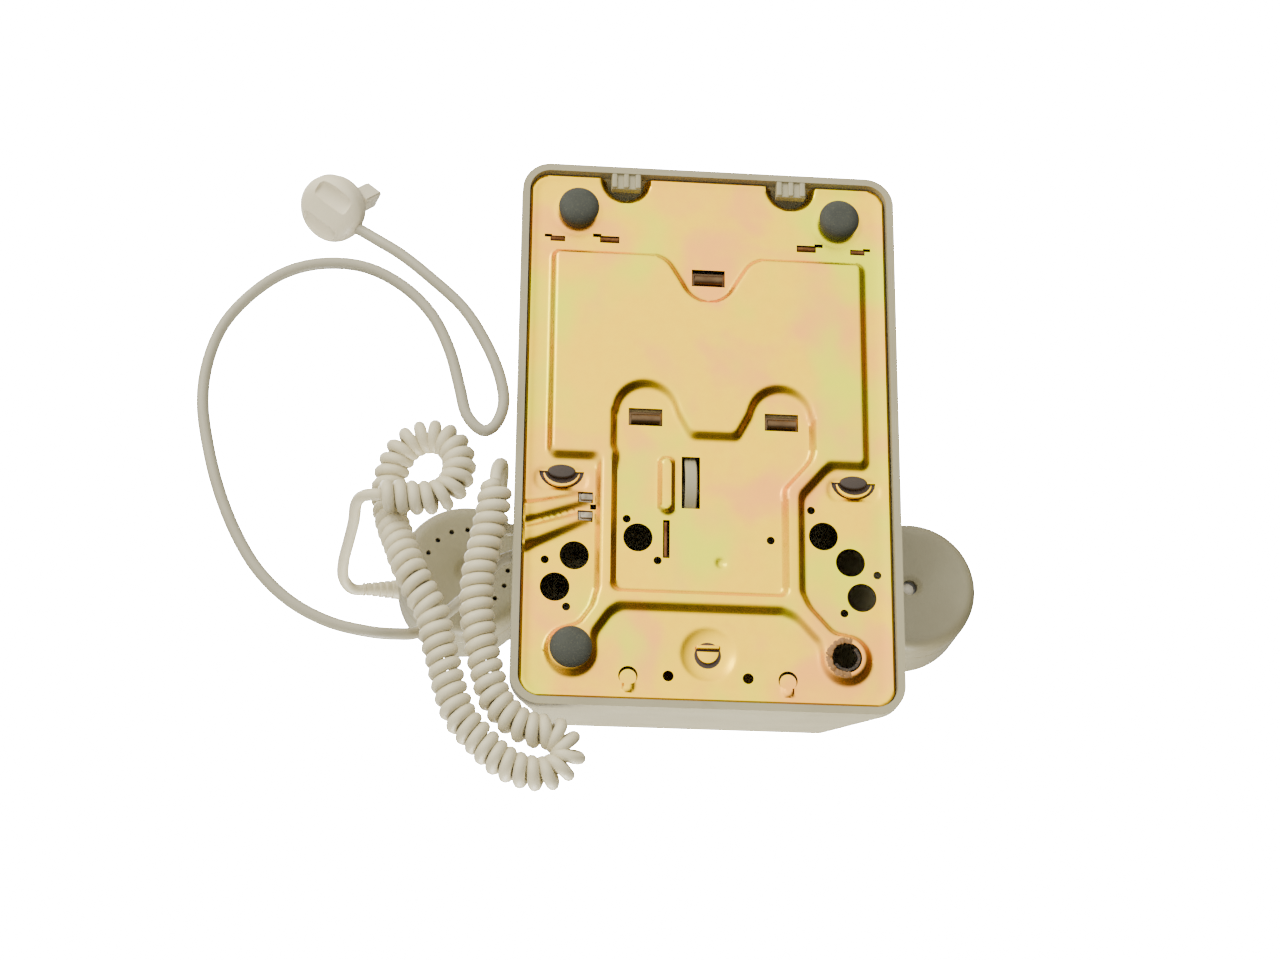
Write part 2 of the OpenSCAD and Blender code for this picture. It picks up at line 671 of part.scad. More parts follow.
module switch_block() color("#6b5a3a") {
    slab(lever_x - 5, lever_x + 5, pin_y - 3.5, pin_y + 3.5, pin_z - 26, pin_z - 14);
    for (x = [-3, 0, 3]) slab(lever_x + x - 0.8, lever_x + x + 0.8, pin_y - 2.2, pin_y - 1.8,
        pin_z - 14.5, pin_z - 5);
}

// ---------- dial, drawn on its own face ----------

case_t = 2;
gear_z = -case_h + 12.5;
gear_t = 2.4;
axis_gap = 0.12;
governor_x = (gear_teeth + pinion_teeth) * tooth_module / 2 + axis_gap;
governor_r = 1.2;
boss_h = 5;

module dial_case() color("#6f6e66") at_dial() difference() {
    union() {
        ring(case_r, case_r - case_t, -case_h, 0.5);
        disc(case_r, -case_h, -case_h + case_t);
        ring(number_r, case_r - case_t, 0, 1.5);
        disc(shaft_r + 3, -case_h, -case_h + case_t + boss_h);
    }
    disc(shaft_r + running_gap, -case_h - eps, case_h);
    translate([governor_x, 0, 0]) disc(governor_r, -case_h - eps, -case_h + case_t + eps);
}

module number_plate() color("#d9d5c5") at_dial() ring(number_r - 0.3, 20, 1.5, 2.5);

// Angle of the first of the ten finger holes, and of the stop
first_hole = 35;
stop_turn = -22;
hole_step = 30;
module finger_wheel() color("#d9d5c5") at_dial() difference() {
    union() {
        disc(wheel_r, wheel_z, wheel_z + wheel_t);
        disc(8, 2.9, wheel_z);
    }
    for (i = [0 : 9]) rotate([0, 0, first_hole + hole_step * i]) translate([finger_ring_r, 0, 0])
        disc(finger_r, wheel_z - eps, wheel_z + wheel_t + eps);
    disc(shaft_r, 2, wheel_z + wheel_t + eps);
}

module dial_shaft() color("#a8a8a4") at_dial() {
    disc(shaft_r, -case_h - 0.8, wheel_z + wheel_t);
    disc(shaft_r + 2, gear_z - 1.2, gear_z);
}

module dial_gear() color("#c9a85a") at_dial() translate([0, 0, gear_z]) difference() {
    linear_extrude(gear_t) gear_2d(gear_teeth, tooth_module, 0.45, 0.6);
    disc(shaft_r, -eps, gear_t + eps);
    for (a = [0 : 60 : 300]) rotate([0, 0, a + 30]) translate([10.5, 0, 0]) disc(3.2, -eps, gear_t + eps);
}

module centre_cap() color("#d9d5c5") at_dial() rotate_extrude($fn = fine)
    polygon([[0, wheel_z + wheel_t], [15, wheel_z + wheel_t], [15, wheel_z + wheel_t + 0.8],
        [14.2, wheel_z + wheel_t + 1.5], [0, wheel_z + wheel_t + 1.9]]);

module finger_stop() color("#c8c8c4") at_dial() rotate([0, 0, stop_turn]) {
    slab(wheel_r + 0.5, number_r - 0.4, -3, 3, 2.5, wheel_z + wheel_t + 1.8);
    slab(22, number_r - 0.4, -3, 3, wheel_z + wheel_t + 0.8, wheel_z + wheel_t + 1.8);
}

module governor_pinion() color("#a8a8a4") at_dial() translate([governor_x, 0, 0]) {
    rotate([0, 0, 180 + 180 / pinion_teeth]) translate([0, 0, gear_z - 1])
        linear_extrude(gear_t + 2) gear_2d(pinion_teeth, tooth_module, 0.45, 0.6);
    disc(governor_r - running_gap, -case_h + 0.2, gear_z + gear_t + 1);
    disc(5.5, gear_z - 6, gear_z - 2.5);
}

module governor_bearing() color("#c9a85a") at_dial() translate([governor_x, 0, 0])
    ring(3, governor_r, -case_h + case_t, -case_h + case_t + 2.5);

// A flat spiral of spring strip around the shaft
spring_turns = 4;
spring_in = shaft_r + 0.25;
spring_out = 13;
spring_w = 4;
strip_t = 0.4;
function spring_r(a) = spring_in + (spring_out - spring_in) * a / 360 / spring_turns;
module return_spring() color("#5a5a58") at_dial() translate([0, 0, gear_z + 4.5]) linear_extrude(spring_w)
    polygon(concat([for (a = [0 : 15 : 360 * spring_turns]) spring_r(a) * [cos(a), sin(a)]],
        [for (a = [360 * spring_turns : -15 : 0]) (spring_r(a) + strip_t) * [cos(a), sin(a)]]));

contact_turn = 120;
contact_x = case_r - case_t - 7;
module pulse_contacts() color("#6b5a3a") at_dial() rotate([0, 0, contact_turn])
    translate([contact_x, 0, -case_h]) {
        slab(-4, 4, -3, 3, case_t, 9);
        for (y = [-1.6, 1.6]) slab(-4, 4, y - 0.3, y + 0.3, 8.5, 11);
    }

// ---------- handset ----------

cup_x = cup_span / 2;
grip_z = saddle_z + rest_gap + grip_h / 2;
cap_z = face_z + cap_h;

// The handle: an oval that grows towards the cups, swept from cup to cup
grip_sides = 24;
grip_stations = [-72, -64, -54, -30, 0, 30, 54, 64, 72];
function grip_grow(x) = max(0, abs(x) - 54) / 18;
module grip(inset) {
    reach = inset > 0 ? 1.06 : 1;
    n = len(grip_stations);
    points = [for (x = grip_stations, k = [0 : grip_sides - 1]) let (a = 360 * k / grip_sides,
        g = grip_grow(x)) [x * reach, (grip_w / 2 + 5 * g - inset) * cos(a),
        (grip_h / 2 - g - inset) * sin(a)]];
    quads = [for (i = [0 : n - 2], k = [0 : grip_sides - 1]) let (j = (k + 1) % grip_sides)
        [i * grip_sides + j, i * grip_sides + k, (i + 1) * grip_sides + k, (i + 1) * grip_sides + j]];
    first = [for (k = [0 : grip_sides - 1]) k];
    last = [for (k = [0 : grip_sides - 1]) n * grip_sides - 1 - k];
    translate([0, handset_y, grip_z]) polyhedron(points, concat(quads, [first, last]), convexity = 4);
}

// The outside of a cup, or its hollow when inset is the shell
module cup(inset) {
    r = cup_r - inset;
    top = cup_top_z - inset;
    z0 = cap_z - (inset > 0 ? eps : 0);
    dome = 12;
    rotate_extrude($fn = fine) polygon(concat([[0, z0], [r, z0]],
        [for (a = [0 : 15 : 90]) [r - dome + dome * cos(a), top - dome + dome * sin(a)]], [[0, top]]));
}

module handset_shell() color("#c9c5b5") difference() {
    union() {
        for (x = [-1, 1]) translate([x * cup_x, handset_y, 0]) cup(0);
        grip(0);
    }
    for (x = [-1, 1]) translate([x * cup_x, handset_y, 0]) cup(shell_t);
    grip(shell_t);
    at_relief() disc(relief_r, -8, 4);
}

// A screwed cap with a dished face
module cap() {
    collar_r = cup_r - shell_t - 0.25;
    skin = 2.4;
    rotate_extrude($fn = fine) polygon([[0, face_z + 3.4], [3.2, face_z + 3.4], [4.6, face_z + 2.4],
        [cup_r - 6, face_z + 0.2], [cup_r - 4, face_z], [cup_r - 2.4, face_z + 0.4],
        [cup_r - 0.6, face_z + 2], [cup_r, face_z + 4.4], [cup_r, cap_z], [collar_r, cap_z],
        [collar_r, cap_z + 5], [collar_r - skin, cap_z + 5], [collar_r - skin, face_z + 5.4],
        [cup_r - 6, face_z + 0.2 + skin], [0, face_z + 3.4 + skin]]);
}

module mouth_cap() color("#c9c5b5") translate([-cup_x, handset_y, 0]) difference() {
    cap();
    for (a = [0 : 45 : 315]) rotate([0, 0, a]) translate([16, 0, face_z - 2])
        linear_extrude(8) stadium(3.6, 1.6);
}

module ear_cap() color("#c9c5b5") translate([cup_x, handset_y, 0]) difference() {
    cap();
    for (a = [0 : 60 : 300]) rotate([0, 0, a]) translate([10, 0, 0]) disc(1.1, face_z - 1, face_z + 7);
}

capsule_r = cup_r - 6.2;
module capsule(r) {
    disc(r, face_z + cap_h / 2 + 0.2, cap_z + 5);
    disc(r - 6, cap_z + 4.5, cap_z + 10);
}

module transmitter() color("#8d8b84") translate([-cup_x, handset_y, 0]) capsule(capsule_r);
module receiver() color("#8d8b84") translate([cup_x, handset_y, 0]) capsule(capsule_r - 1);

// The strain relief leaves the mouth cup sideways and a little down
relief_turn = 174;
relief_drop = 14;
relief_z = saddle_z - 2;
relief_r = 4;
relief_l = 15;
relief_start = cup_r - 1;
module at_relief() translate([-cup_x, handset_y, relief_z])
    rotate([0, 0, relief_turn]) translate([relief_start, 0, 0]) rotate([0, 90 + relief_drop, 0]) children();

module handset_relief() color("#bdb9a9") at_relief() difference() {
    union() {
        disc(relief_r, -3, 1.4);
        translate([0, 0, 1.2])
            cylinder(h = relief_l - 1.2, r1 = relief_r, r2 = cord_d / 2 + 0.6, $fn = fine);
    }
    disc(cord_d / 2 - 1, -4, 0);
}

// ---------- cords ----------

coil_rest = coil_d / 2;
cord_rest = cord_d / 2;
relief_side = [cos(relief_turn), sin(relief_turn), 0];
relief_way = cos(relief_drop) * relief_side - [0, 0, sin(relief_drop)];
relief_tip = [-cup_x, handset_y, relief_z] + relief_start * relief_side + relief_l * relief_way;

coil_route = [[-120, 30, coil_rest], [-113, 30.4, coil_rest], [-106, 30.6, coil_rest],
    [-100.5, 30, coil_rest], [-96, 27.5, 7], [-92.8, 22, 8], [-92, 15, 10], [-94.5, 8, 12], [-100, 4, 14],
    [-106.5, 4, 16], [-112, 7, 18], [-115.5, 13, 20], [-117.5, 21, 21], [-117, 30, 20.5],
    [-115, 38.5, 17.5], [-112.5, 46, 13], [-110, 54, 9], [-106.5, 62, coil_rest], [-103, 68.5, coil_rest],
    [-99.5, 75, coil_rest], [-97.5, 84, coil_rest], [-95, 93, coil_rest], [-92.5, 102, coil_rest],
    [-88.6, 111.8, coil_rest], [-81.5, 120, coil_rest], [-74, 127, coil_rest], [-65, 131, coil_rest],
    [-56, 131, coil_rest], [-50, 124.5, coil_rest], [-54.5, 117.4, coil_rest], [-63, 115.8, coil_rest],
    [-70, 112.2, coil_rest], [-76.5, 104.5, coil_rest], [-79.8, 94, coil_rest], [-82.6, 82, coil_rest],
    [-84, 70, coil_rest], [-83.5, 58, coil_rest], [-81.3, 46, coil_rest], [-79.2, 34, coil_rest],
    [-78.6, 24, coil_rest]];

module coiled_cord() color("#bdb9a6") tube(coil_route, coil_d / 2, 12);

tail_route = [relief_tip + 0.3 * relief_way, relief_tip + 4 * relief_way, [-134, 40, 78], [-134, 37, 66],
    [-132, 34, 50], [-130, 32, 32], [-129, 30, 17], [-126, 29.8, 8.5], [-120.5, 30, coil_rest]];
module handset_tail() color("#bdb9a6") tube(tail_route, cord_d / 2, 8, [0.5, 1, 0]);

coil_tail_route = [[-78.6, 23.4, coil_rest], [-78.4, 19, 7.5], [-77.4, 15, 10.5], [-76, 13.6, 14],
    [-75.6, 16, 16.8], [-76, 22, 17.2], [-76.8, 30, 17], [-76.2, 35.5, 16.2], [-73.6, 38.2, 15.6],
    [-half_w + side_lean / 8, exit_coil_y, exit_z]];
module coil_tail() color("#bdb9a6") tube(smooth_path(coil_tail_route, 2), cord_d / 2, 8);

line_route = [[-133, -78, 11.6], [-126, -73, 9.4], [-116, -65, 5], [-105, -55, cord_rest],
    [-93, -44, cord_rest], [-85, -32, cord_rest], [-79, -19, cord_rest], [-76.5, -7, cord_rest],
    [-79, 2, cord_rest], [-84, 5, cord_rest], [-90, -1, cord_rest], [-93, -12, cord_rest],
    [-97, -26, cord_rest], [-104, -40, cord_rest], [-115, -51, cord_rest], [-129, -58, cord_rest],
    [-144, -59, cord_rest], [-158, -55, cord_rest], [-170, -46, cord_rest], [-180, -33, cord_rest],
    [-185, -18, cord_rest], [-186, -2, cord_rest], [-183, 15, cord_rest], [-178, 32, cord_rest],
    [-171, 48, cord_rest], [-162, 62, cord_rest], [-150, 73, cord_rest], [-136, 80, cord_rest],
    [-122, 83, cord_rest], [-112, 82, 7.5], [-105, 79, 15], [-98, 74, 15.6], [-90, 67, 15.4],
    [-82, 59, 15.6], [-77, 51.5, 15.6], [-half_w + side_lean / 8, exit_line_y, exit_z]];
module line_cord() color("#bdb9a6") tube(line_route, cord_d / 2, 8);

// ---------- plug, drawn with its axis along Z and its contacts up ----------

plug_lean = 50;
plug_turn = 36.9;
plug_centre = [-143.5, -86, 11.6];
module at_plug() translate(plug_centre) rotate([0, 0, plug_turn]) rotate([plug_lean, 0, 0])
    translate([0, 0, -plug_h / 2]) children();

seam_z = plug_h - 3.6;

module plug_cover() color("#ded8c4") at_plug() difference() {
    rotate_extrude($fn = fine) polygon([[0, 0], [plug_r - 5, 0.4], [plug_r - 1, 2.4], [plug_r, 4.4],
        [plug_r, seam_z], [0, seam_z]]);
    for (y = [-1, 1]) translate([0, y * 8.2, -2.4]) rotate([0, 90, 0]) disc(5.2, -7.5, 7.5);
}

module plug_body() color("#ded8c4") at_plug() difference() {
    rotate_extrude($fn = fine) polygon([[0, seam_z], [plug_r - 1.2, seam_z], [plug_r - 1.2, plug_h - 0.8],
        [plug_r - 2, plug_h], [0, plug_h]]);
    for (x = [-4, 4]) translate([x, 3, 0]) slab(-0.5, 0.5, -3, 3, plug_h - 3, plug_h + 1);
}

module plug_blades() color("#5a5a55") at_plug() for (x = [-4, 4]) translate([x, 3, 0])
    slab(-0.5, 0.5, -3, 3, plug_h - 3, plug_h + blade_l);

module plug_peg() color("#e2dcc6") at_plug() translate([5.5, -5.5, plug_h])
    linear_extrude(peg_l) difference() {
        square(peg_w, center = true);
        for (x = [-1, 1], y = [-1, 1]) translate([x, y] * peg_w / 2) rotate([0, 0, 45])
            square(1, center = true);
    }

housing();
base_plate();
rubber_feet();
torn_foot();
plate_clips();
plate_buttons();
housing_catch();
cord_clamps();
cord_grommets();
volume_wheel();
volume_axle();
volume_bracket();
circuit_board();
board_posts();
induction_coil();
capacitor();
terminal_block();
ringer_frame();
ringer_coils();
gongs();
gong_screws();
hammer();
hammer_pivot();
hook_bracket();
lever_pin();
hook_lever();
switch_block();
cradle_plunger();
dial_case();
number_plate();
finger_wheel();
dial_shaft();
dial_gear();
centre_cap();
finger_stop();
governor_pinion();
governor_bearing();
return_spring();
pulse_contacts();
handset_shell();
mouth_cap();
ear_cap();
transmitter();
receiver();
handset_relief();
handset_tail();
coiled_cord();
coil_tail();
line_cord();
plug_body();
plug_cover();
plug_blades();
plug_peg();
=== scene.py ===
import math

import bmesh
import bpy
import numpy as np
from mathutils import Matrix, Vector


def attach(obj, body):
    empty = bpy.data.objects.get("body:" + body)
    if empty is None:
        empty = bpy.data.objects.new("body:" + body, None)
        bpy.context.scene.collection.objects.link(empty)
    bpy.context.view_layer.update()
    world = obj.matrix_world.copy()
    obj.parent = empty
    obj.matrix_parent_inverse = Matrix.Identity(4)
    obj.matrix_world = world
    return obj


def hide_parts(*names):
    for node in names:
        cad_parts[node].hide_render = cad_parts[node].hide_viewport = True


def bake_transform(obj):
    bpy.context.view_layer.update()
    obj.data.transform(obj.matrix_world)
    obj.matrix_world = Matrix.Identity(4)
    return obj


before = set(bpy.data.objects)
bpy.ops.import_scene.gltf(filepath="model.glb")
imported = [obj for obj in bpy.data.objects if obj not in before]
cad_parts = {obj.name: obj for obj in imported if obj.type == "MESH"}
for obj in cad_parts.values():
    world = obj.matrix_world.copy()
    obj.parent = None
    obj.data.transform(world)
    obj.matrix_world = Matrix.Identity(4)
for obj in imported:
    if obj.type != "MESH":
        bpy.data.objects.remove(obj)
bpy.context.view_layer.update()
bpy.ops.object.select_all(action="DESELECT")

MM = 0.001


def mm(x, y, z=0.0):
    """A point given in millimetres."""
    return Vector((x, y, z)) * MM


def moved(x, y, z=0.0):
    """The move from the origin to a point given in millimetres."""
    return Matrix.Translation(mm(x, y, z))


# ---------- camera ----------

EYE = mm(-106.1, 338.1, -878.5)
RIGHT = Vector((0.9955, -0.0092, -0.0940))
DOWN = Vector((0.0403, 0.9416, 0.3345))
LENS = 72.14

camera_data = bpy.data.cameras.new("camera")
camera_data.lens = LENS
camera_data.sensor_width = 36.0
camera_data.clip_start = 0.01
camera = bpy.data.objects.new("camera", camera_data)
bpy.context.collection.objects.link(camera)
right = RIGHT.normalized()
forward = right.cross(DOWN).normalized()
down = forward.cross(right)
turn = Matrix((right, -down, -forward)).transposed()
camera.matrix_world = Matrix.Translation(EYE) @ turn.to_4x4()
bpy.context.scene.camera = camera


# ---------- modelling steps ----------


def only(piece):
    """Leaves one piece selected and active."""
    bpy.ops.object.select_all(action="DESELECT")
    piece.select_set(True)
    bpy.context.view_layer.objects.active = piece


def named(name):
    piece = bpy.context.object
    piece.name = name
    piece.data.name = name
    return piece


def settle(piece):
    """Moves a piece's place, turn and size into its mesh."""
    only(piece)
    bpy.ops.object.transform_apply(location=True, rotation=True, scale=True)


def block(name, low, high):
    """A box between two corners."""
    low, high = Vector(low), Vector(high)
    bpy.ops.mesh.primitive_cube_add(size=1, location=(low + high) / 2)
    piece = named(name)
    piece.scale = high - low
    settle(piece)
    return piece


def barrel(name, at, radius, depth, turned_by=(0, 0, 0), sides=64):
    """A cylinder whose middle is at a point, along Z before it is turned."""
    bpy.ops.mesh.primitive_cylinder_add(vertices=sides, radius=radius, depth=depth, location=at)
    piece = named(name)
    piece.rotation_euler = turned_by
    settle(piece)
    return piece


def place(piece, matrix):
    """Puts a piece that was modelled at the origin where it belongs."""
    piece.matrix_world = matrix
    settle(piece)
    return piece


def choose_edges(piece, test, corner=0.0):
    """In edit mode, selects the edges that pass a test and whose faces meet at more than an angle."""
    bpy.ops.mesh.select_mode(type="EDGE")
    bpy.ops.mesh.select_all(action="DESELECT")
    mesh = bmesh.from_edit_mesh(piece.data)
    for part in mesh.edges:
        chosen = test(part.verts[0].co, part.verts[1].co)
        part.select_set(bool(chosen and part.calc_face_angle(math.pi) > corner))
    mesh.select_flush_mode()
    bmesh.update_edit_mesh(piece.data)


def edit(piece):
    only(piece)
    bpy.ops.object.mode_set(mode="EDIT")


def leave():
    bpy.ops.object.mode_set(mode="OBJECT")


def take_all():
    bpy.ops.mesh.select_all(action="SELECT")


def close_up():
    """Turns every face outwards and leaves edit mode."""
    take_all()
    bpy.ops.mesh.normals_make_consistent(inside=False)
    leave()


def draw_line(name, points):
    """A chain of edges through points, each extruded from the last, left in edit mode."""
    bpy.ops.mesh.primitive_plane_add(size=MM)
    piece = named(name)
    edit(piece)
    bpy.ops.mesh.select_mode(type="VERT")
    take_all()
    bpy.ops.mesh.merge(type="CENTER")
    bpy.ops.transform.translate(value=points[0])
    for start, end in zip(points, points[1:]):
        bpy.ops.mesh.extrude_vertices_move(TRANSFORM_OT_translate={"value": end - start})
    return piece


def turned(name, profile, steps=96):
    """A body of revolution about Z; the profile is (radius, height) in millimetres."""
    piece = draw_line(name, [mm(r, 0, z) for r, z in profile])
    take_all()
    bpy.ops.mesh.spin(steps=steps, angle=2 * math.pi, center=(0, 0, 0), axis=(0, 0, 1))
    take_all()
    bpy.ops.mesh.remove_doubles(threshold=0.002 * MM)
    close_up()
    return piece


def prism(name, outline, way):
    """A flat outline of points, filled and drawn out along a vector."""
    piece = draw_line(name, outline)
    take_all()
    bpy.ops.mesh.edge_face_add()
    bpy.ops.mesh.extrude_region_move(TRANSFORM_OT_translate={"value": way})
    close_up()
    return piece


def modify(piece, kind, **settings):
    """Adds a modifier and applies it."""
    only(piece)
    step = piece.modifiers.new(kind.title(), kind)
    for name, value in settings.items():
        setattr(step, name, value)
    bpy.ops.object.modifier_apply(modifier=step.name)
    return piece


def soften(piece, width, segments=3, angle=40):
    """Rounds the sharp edges."""
    limit = math.radians(angle)
    return modify(
        piece, "BEVEL", width=width * MM, segments=segments, limit_method="ANGLE", angle_limit=limit
    )


def combine(piece, tool, way="DIFFERENCE"):
    """Cuts a tool out of a piece, or adds it, and removes the tool."""
    modify(piece, "BOOLEAN", operation=way, solver="EXACT", object=tool)
    bpy.data.objects.remove(tool)


def join(name, pieces):
    """Makes one piece of several."""
    bpy.ops.object.select_all(action="DESELECT")
    for piece in pieces:
        piece.select_set(True)
    bpy.context.view_layer.objects.active = pieces[0]
    bpy.ops.object.join()
    return named(name)


def smooth(piece, angle=35):
    """Shades a piece smoothly except at edges sharper than an angle."""
    only(piece)
    bpy.ops.object.shade_smooth_by_angle(angle=math.radians(angle))
    return piece


def turning(name, profile, matrix, steps=96, angle=35):
    """A smooth body of revolution, put where it belongs."""
    return smooth(place(turned(name, profile, steps), matrix), angle)


# ---------- materials ----------


class Amount:
    """A varying number of a shader, which takes part in sums as a plain number does."""

    def __init__(self, nodes, socket):
        self.nodes = nodes
        self.socket = socket

    def sum(self, operation, *terms):
        made = self.nodes.node("ShaderNodeMath", {"operation": operation}, dict(enumerate(terms)))
        return Amount(self.nodes, made.outputs[0])

    def __add__(self, other):
        return self.sum("ADD", self, other)

    __radd__ = __add__

    def __sub__(self, other):
        return self.sum("SUBTRACT", self, other)

    def __rsub__(self, other):
        return self.sum("SUBTRACT", other, self)

    def __mul__(self, other):
        return self.sum("MULTIPLY", self, other)

    __rmul__ = __mul__

    def between(self, low, high, first=0.0, last=1.0):
        """From a first value where the number is low to a last one where it is high."""
        limits = {"From Min": low, "From Max": high, "To Min": first, "To Max": last}
        made = self.nodes.node(
            "ShaderNodeMapRange", {"interpolation_type": "SMOOTHSTEP"}, {"Value": self, **limits}
        )
        return Amount(self.nodes, made.outputs[0])


class Nodes:
    """The nodes of a material or of the world."""

    def __init__(self, tree):
        self.tree = tree

    def node(self, kind, settings, sockets):
        """A node with its settings, then the values or links of its sockets."""
        made = self.tree.nodes.new(kind)
        for name, value in settings.items():
            setattr(made, name, value)
        for name, value in sockets.items():
            self.feed(made.inputs[name], value)
        return made

    def feed(self, socket, value):
        if isinstance(value, Amount):
            value = value.socket
        if isinstance(value, bpy.types.NodeSocket):
            self.tree.links.new(value, socket)
        else:
            socket.default_value = value

    def measure(self, operation, first, second):
        """A number worked out from two vectors."""
        made = self.node("ShaderNodeVectorMath", {"operation": operation}, {0: first, 1: second})
        return Amount(self, made.outputs["Value"])


class Paint(Nodes):
    """One procedural material and the nodes that make it."""

    def __init__(self, name, **plain):
        self.material = bpy.data.materials.new(name)
        self.material.use_nodes = True
        super().__init__(self.material.node_tree)
        self.surface = self.tree.nodes["Principled BSDF"]
        for socket, value in plain.items():
            self.surface.inputs[socket].default_value = value
        self.place = self.node("ShaderNodeTexCoord", {}, {}).outputs["Object"]

    def spot(self, at, size):
        """Object coordinates measured from a point, in units of size along each axis."""
        frame_of_spot = {"Vector": self.place, "Location": at, "Scale": size}
        return self.node("ShaderNodeMapping", {"vector_type": "TEXTURE"}, frame_of_spot).outputs[0]

    def noise(self, cell, detail=2.0, rough=0.5, at=None, twist=0.0):
        """Noise whose lumps are about one cell across, in millimetres."""
        scale = 1.0 if at else 1000.0 / cell
        look = {"Scale": scale, "Detail": detail, "Roughness": rough, "Distortion": twist}
        made = self.node("ShaderNodeTexNoise", {}, {"Vector": at or self.place, **look})
        return Amount(self, made.outputs[0])

    def patch(self, at, radius):
        """1 at a point in millimetres, falling softly to 0 at a radius."""
        return self.measure("DISTANCE", self.place, mm(*at)).between(radius * MM, 0.0)

    def facing(self, way):
        """How far the surface faces a direction, from -1 to 1."""
        normal = self.node("ShaderNodeTexCoord", {}, {}).outputs["Normal"]
        return self.measure("DOT_PRODUCT", normal, way)

    def mix(self, amount, first, second):
        """A colour between two colours."""
        made = self.node("ShaderNodeMix", {"data_type": "RGBA"}, {"Factor": amount, 6: first, 7: second})
        return made.outputs[2]

    def bump(self, amount, depth):
        """Raises the surface by an amount times a depth in millimetres."""
        made = self.node("ShaderNodeBump", {}, {"Height": amount, "Distance": depth * MM})
        self.set("Normal", made.outputs[0])

    def set(self, socket, value):
        self.feed(self.surface.inputs[socket], value)


def tone(red, green, blue):
    """A colour given as it looks on a screen, from 0 to 255."""
    steps = [c / 255 for c in (red, green, blue)]
    return [s / 12.92 if s <= 0.04045 else ((s + 0.055) / 1.055) ** 2.4 for s in steps] + [1.0]


def dress(piece, paint):
    """Gives every face of a piece one material."""
    piece.data.materials.clear()
    piece.data.materials.append(paint.material)


def coat(paint, *nodes):
    """Gives CAD nodes a material."""
    for node in nodes:
        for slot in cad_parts[node].material_slots:
            slot.material = paint.material


def fit(piece, body, paint, replaces=()):
    """Hangs a piece on its body and its finish, in place of its CAD nodes."""
    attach(piece, body)
    if replaces:
        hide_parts(*replaces)
    dress(piece, paint)
    return piece


def moulded(name, base, warm, dark, shine=0.42):
    """Satin moulded plastic with a fine grain, faint mottling and a little grime."""
    paint = Paint(name, Roughness=shine, IOR=1.5)
    cloud = paint.noise(28, 3)
    grime = (paint.noise(9, 6, 0.7) - 0.55) * 3.0
    skin = paint.mix(cloud.between(0.35, 0.7), tone(*base), tone(*warm))
    paint.set("Base Color", paint.mix(grime.between(0.0, 1.0) * 0.35, skin, tone(*dark)))
    fine = paint.noise(0.55, 3, 0.6)
    paint.set("Roughness", shine + 0.1 * (cloud - 0.5) + 0.12 * fine)
    paint.bump(fine + 1.5 * paint.noise(6, 2), 0.02)
    return paint


shell_paint = moulded("moulded_grey", (158, 150, 114), (151, 142, 106), (114, 105, 74))
cord_paint = moulded("vinyl_grey", (204, 195, 160), (196, 186, 150), (156, 145, 110), 0.4)
# The handset is the body's plastic, painted darker as painted shade on the cups.
shaded_handset_paint = moulded("handset_grey_painted_shade", (146, 139, 106), (139, 131, 98), (106, 98, 70))
wire_paint = moulded("smooth_vinyl", (164, 158, 132), (157, 150, 124), (126, 118, 94), 0.4)
dial_paint = moulded("dial_ivory", (206, 199, 172), (200, 192, 162), (156, 146, 116), 0.25)
plug_paint = moulded("plug_cream", (222, 212, 180), (216, 205, 170), (170, 156, 120), 0.34)


# ---------- cords ----------

CORD_D = 4.5
WIRE_D = 4.6
COIL_R = 4.2
COIL_REST = 6.5
CORD_REST = 2.25
EXIT_X, EXIT_Z = -69.75, 15.5
EXIT_YS = (38.5, 48.0)


def smooth_path(points, steps):
    """A smooth curve through points, with a number of steps in each stretch."""
    path = []
    for i in range(len(points) - 1):
        a = points[max(i - 1, 0)]
        b, c = points[i], points[i + 1]
        d = points[min(i + 2, len(points) - 1)]
        for k in range(steps):
            t = k / steps
            path.append(
                0.5 * (2 * b + (c - a) * t + (2 * a - 5 * b + 4 * c - d) * t**2)
                + 0.5 * (3 * b - a - 3 * c + d) * t**3
            )
    path.append(points[-1])
    return path


def length_of(path):
    return sum((b - a).length for a, b in zip(path, path[1:]))


def even(path, gap):
    """The same path with its points a fixed distance apart."""
    total = length_of(path)
    count = max(2, round(total / gap))
    wanted = [total * i / count for i in range(count + 1)]
    made, walked, i = [], 0.0, 0
    for want in wanted:
        while i < len(path) - 2 and walked + (path[i + 1] - path[i]).length < want:
            walked += (path[i + 1] - path[i]).length
            i += 1
        stretch = (path[i + 1] - path[i]).length
        made.append(path[i].lerp(path[i + 1], min(1.0, (want - walked) / stretch)))
    return made


def cord_tube(name, path, radius, sides=3):
    """A round cord along a path, as a mesh."""
    curve = bpy.data.curves.new(name, "CURVE")
    curve.dimensions = "3D"
    curve.bevel_depth = radius
    curve.bevel_resolution = sides
    curve.use_fill_caps = True
    spline = curve.splines.new("POLY")
    spline.points.add(len(path) - 1)
    for point, at in zip(spline.points, path):
        point.co = (*at, 1.0)
    piece = bpy.data.objects.new(name, curve)
    bpy.context.collection.objects.link(piece)
    only(piece)
    bpy.ops.object.convert(target="MESH")
    piece = named(name)
    bpy.ops.object.shade_smooth()
    return piece


def route(rest, *rows):
    """The points of a route in millimetres; a row without a height lies at rest on the table."""
    return [mm(*row, *(() if len(row) == 3 else (rest,))) for row in rows]


